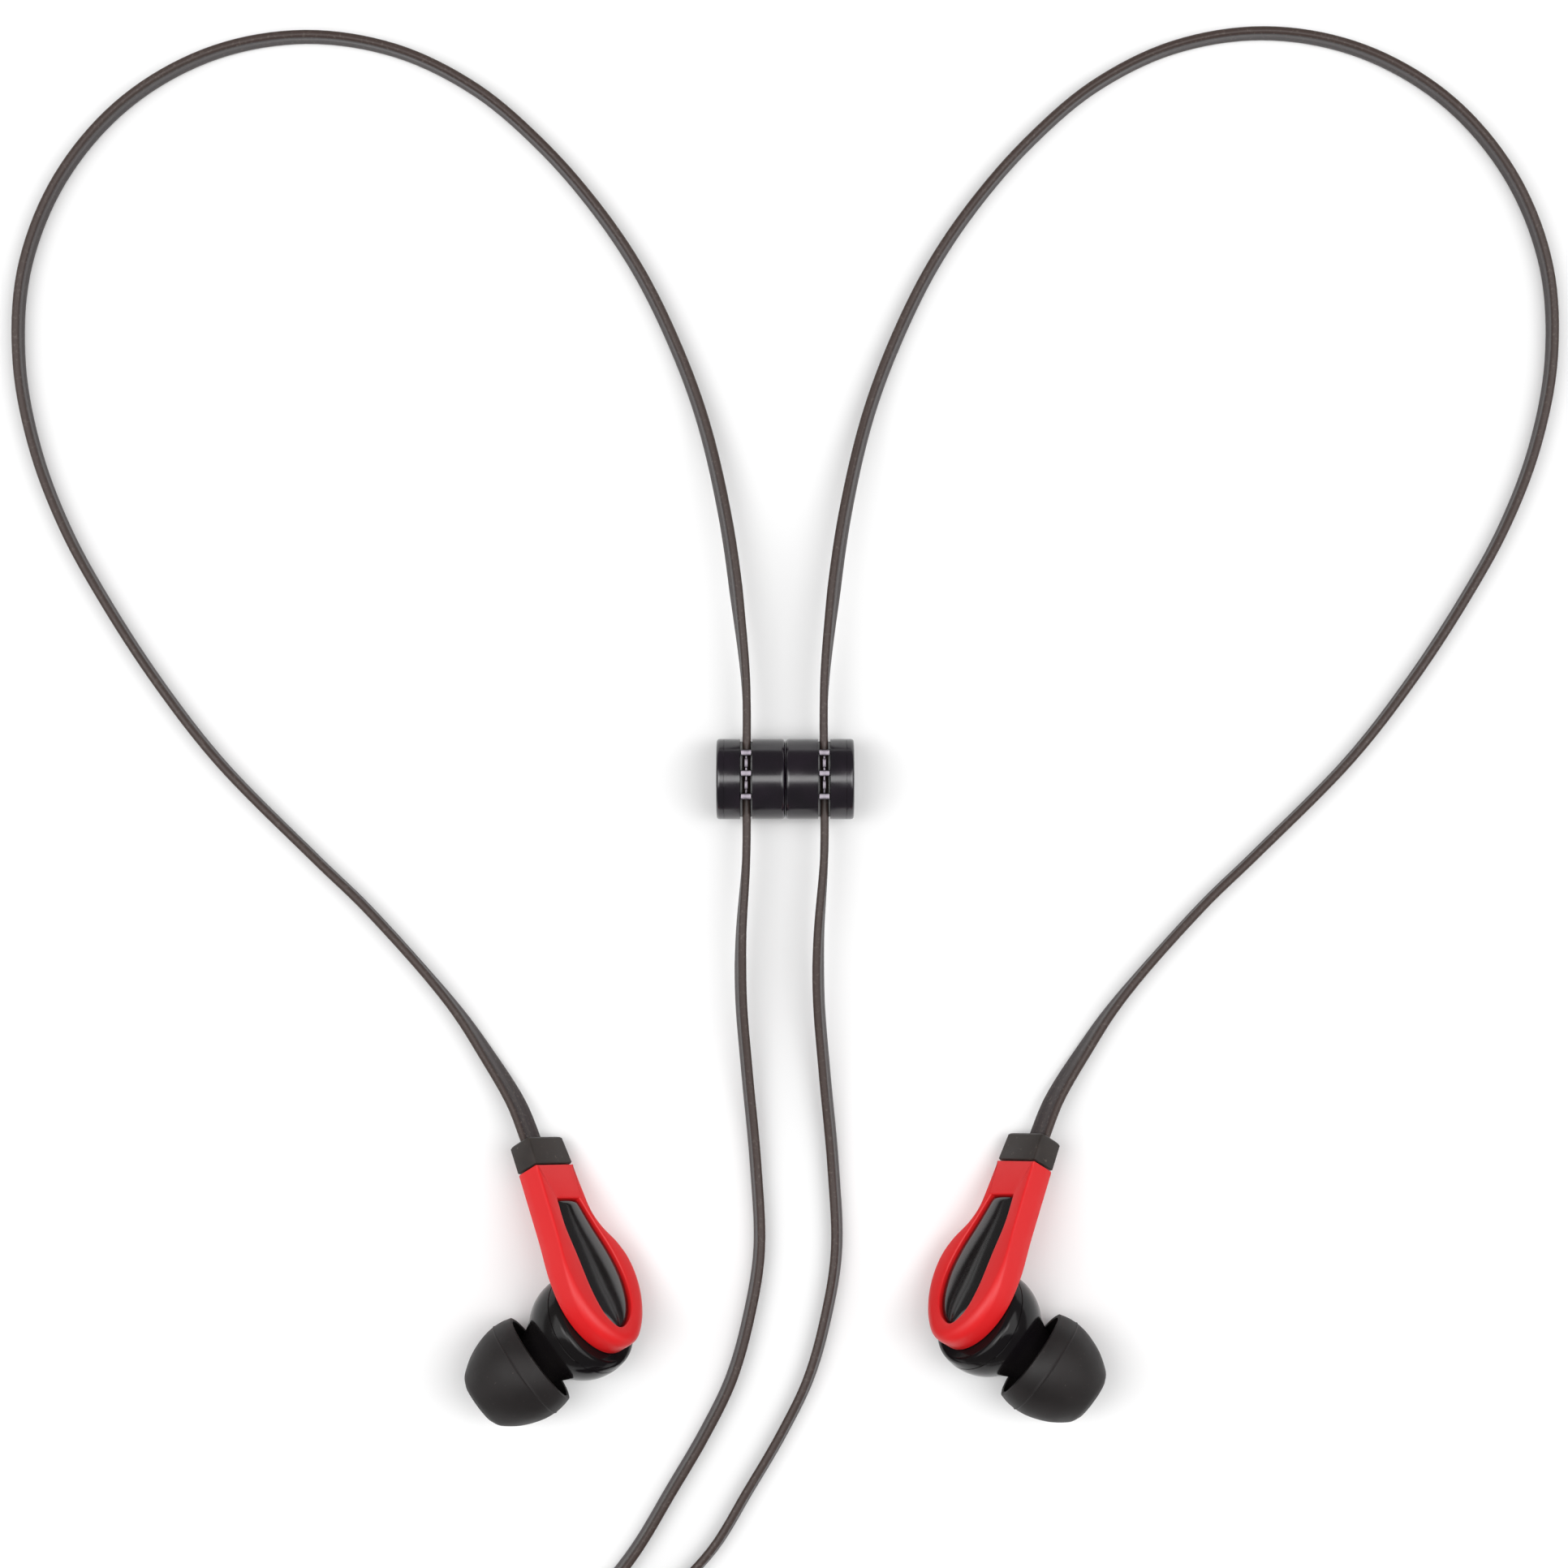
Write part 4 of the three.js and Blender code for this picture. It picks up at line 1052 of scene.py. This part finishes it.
splitPlace = (
    toFrame @ Matrix.Translation(splitLook["mouthAt"])
    @ Matrix.Rotation(math.radians(splitLook["heading"] - 90), 4, "Z")
)
split = makeSplit(splitLook)
finishPiece(split, splitPlace, "reliefBlack", setBody, ["y_split"])

# ---- strap round the coil ----
tieLook = {
    "out": 18.45, "half": 6.6, "high": 5.5, "wall": 0.7, "width": 5.0, "corner": 1.0,
    "flap": (6.2, 4.8, 0.55),
}


def makeTie(look):
    def ring(trim, y):
        half = look["half"] - trim
        corner = max(0.3, look["corner"] - trim)
        return roundedRectangle(-half, half, trim, look["high"] - trim, corner, y, 7)

    half, wall = look["width"] / 2, look["wall"]
    loops = [ring(0.1, -half), ring(0, -half + 0.1), ring(0, half - 0.1), ring(0.1, half),
             ring(wall - 0.1, half), ring(wall, half - 0.1), ring(wall, -half + 0.1), ring(wall - 0.1, -half),
             ring(0.1, -half)]
    band = extrudeLoops("tieBand", loops, fill=False)
    long, wide, thick = look["flap"]
    flap = addBlock("tieFlap", (long, wide, thick), (1.6, 0, look["high"] + thick / 2 - 0.12), 0.12, 3)
    return joinPieces("coilTie", [band, flap])


tie = makeTie(tieLook)
tiePlace = toFrame @ Matrix.Translation(coilLook["centre"] + Vector((tieLook["out"], 0, 0)))
finishPiece(tie, tiePlace, "tieStrap", setBody, ["coil_tie"])

# ---- plug ----
plugLook = {
    "start": (27, -112, 3.3), "relief": 9, "body": 20, "radius": 3.25, "jack": 1.75, "length": 14,
    "gap": 0.3, "ribs": 5, "socket": 2.9,
}
plugPlace = toFrame @ Matrix.Translation(plugLook["start"]) @ Matrix.Rotation(math.radians(-90), 4, "Z")
bodyStart = plugLook["relief"] + plugLook["gap"]
bodyEnd = bodyStart + plugLook["body"]


def makePlugRelief(look):
    profile = [(0, 0), (1.9, 0, 0.3), (2.15, 0.5, 0.1)]
    for k in range(look["ribs"]):
        at = 1.0 + 1.25 * k
        radius = 2.25 + 0.14 * k
        profile += [(radius, at, 0.08), (radius + 0.05, at + 0.75, 0.08),
                    (radius - 0.32, at + 0.85, 0.08), (radius - 0.3, at + 1.15, 0.08)]
    profile += [(3.0, 7.4, 0.1), (3.1, look["relief"] + 0.2, 0.1), (0, look["relief"] + 0.2)]
    return turn("plugRelief", [tuple(p) for p in roundCorners(profile, 3)], 96)


def makePlugBody(look):
    radius, jack = look["radius"], look["jack"] + 0.25
    grooves = []
    for k in range(3):
        at = bodyStart + 3.0 + 0.9 * k
        grooves += [(radius, at, 0.06), (radius - 0.16, at + 0.12, 0.05), (radius - 0.16, at + 0.33, 0.05),
                    (radius, at + 0.45, 0.06)]
    profile = [(0, bodyStart), (radius, bodyStart, 0.25), *grooves, (radius, bodyEnd - 0.45, 0.25),
               (radius - 0.45, bodyEnd, 0.1), (jack, bodyEnd, 0.08), (jack, bodyEnd - look["socket"]),
               (0, bodyEnd - look["socket"])]
    return turn("plugBody", [tuple(p) for p in roundCorners(profile, 4)], 96)


def finishTurned(name, profile, finish, node, steps=4):
    piece = turn(name, [tuple(p) for p in roundCorners(profile, steps)], 72)
    return finishPiece(piece, plugPlace, finish, setBody, [node])


plugRelief = finishPiece(
    makePlugRelief(plugLook), plugPlace, "reliefBlack", setBody, ["plug_relief"])
plugBody = finishPiece(makePlugBody(plugLook), plugPlace, "plugBlack", setBody, ["plug_body"])

jack = plugLook["jack"]
sleeveStart, sleeveEnd = bodyEnd - 2.7, bodyEnd + 6.5
ringStart = sleeveEnd + 1.1
ringEnd = ringStart + 2.0
tipStart, tipEnd = ringEnd + 1.1, bodyEnd + plugLook["length"]
jackSleeve = finishTurned("jackSleeve", [
    (0, sleeveStart), (jack, sleeveStart), (jack, bodyEnd + 0.15, 0.05), (jack - 0.08, bodyEnd + 0.3, 0.05),
    (jack, bodyEnd + 0.5, 0.05), (jack, sleeveEnd, 0.1), (0, sleeveEnd),
], "goldPlate", "jack_sleeve")
jackRear = finishTurned("jackSpacerRear", [
    (0, sleeveEnd + 0.02), (jack - 0.06, sleeveEnd + 0.02, 0.03), (jack - 0.06, ringStart - 0.02, 0.03),
    (0, ringStart - 0.02),
], "insulator", "jack_spacer_rear")
jackRing = finishTurned("jackRing", [
    (0, ringStart), (jack, ringStart, 0.1), (jack, ringEnd, 0.1), (0, ringEnd),
], "goldPlate", "jack_ring")
jackFront = finishTurned("jackSpacerFront", [
    (0, ringEnd + 0.02), (jack - 0.06, ringEnd + 0.02, 0.03), (jack - 0.06, tipStart - 0.02, 0.03),
    (0, tipStart - 0.02),
], "insulator", "jack_spacer_front")
jackTip = finishTurned("jackTip", [
    (0, tipStart), (jack, tipStart, 0.08), (jack, tipStart + 0.6, 0.15), (1.15, tipStart + 1.5, 0.3),
    (1.22, tipStart + 1.9, 0.2), (1.62, tipEnd - 1.35, 0.35), (0.55, tipEnd - 0.05, 0.3), (0, tipEnd),
], "goldPlate", "jack_tip", 6)
print("split, strap and plug made")
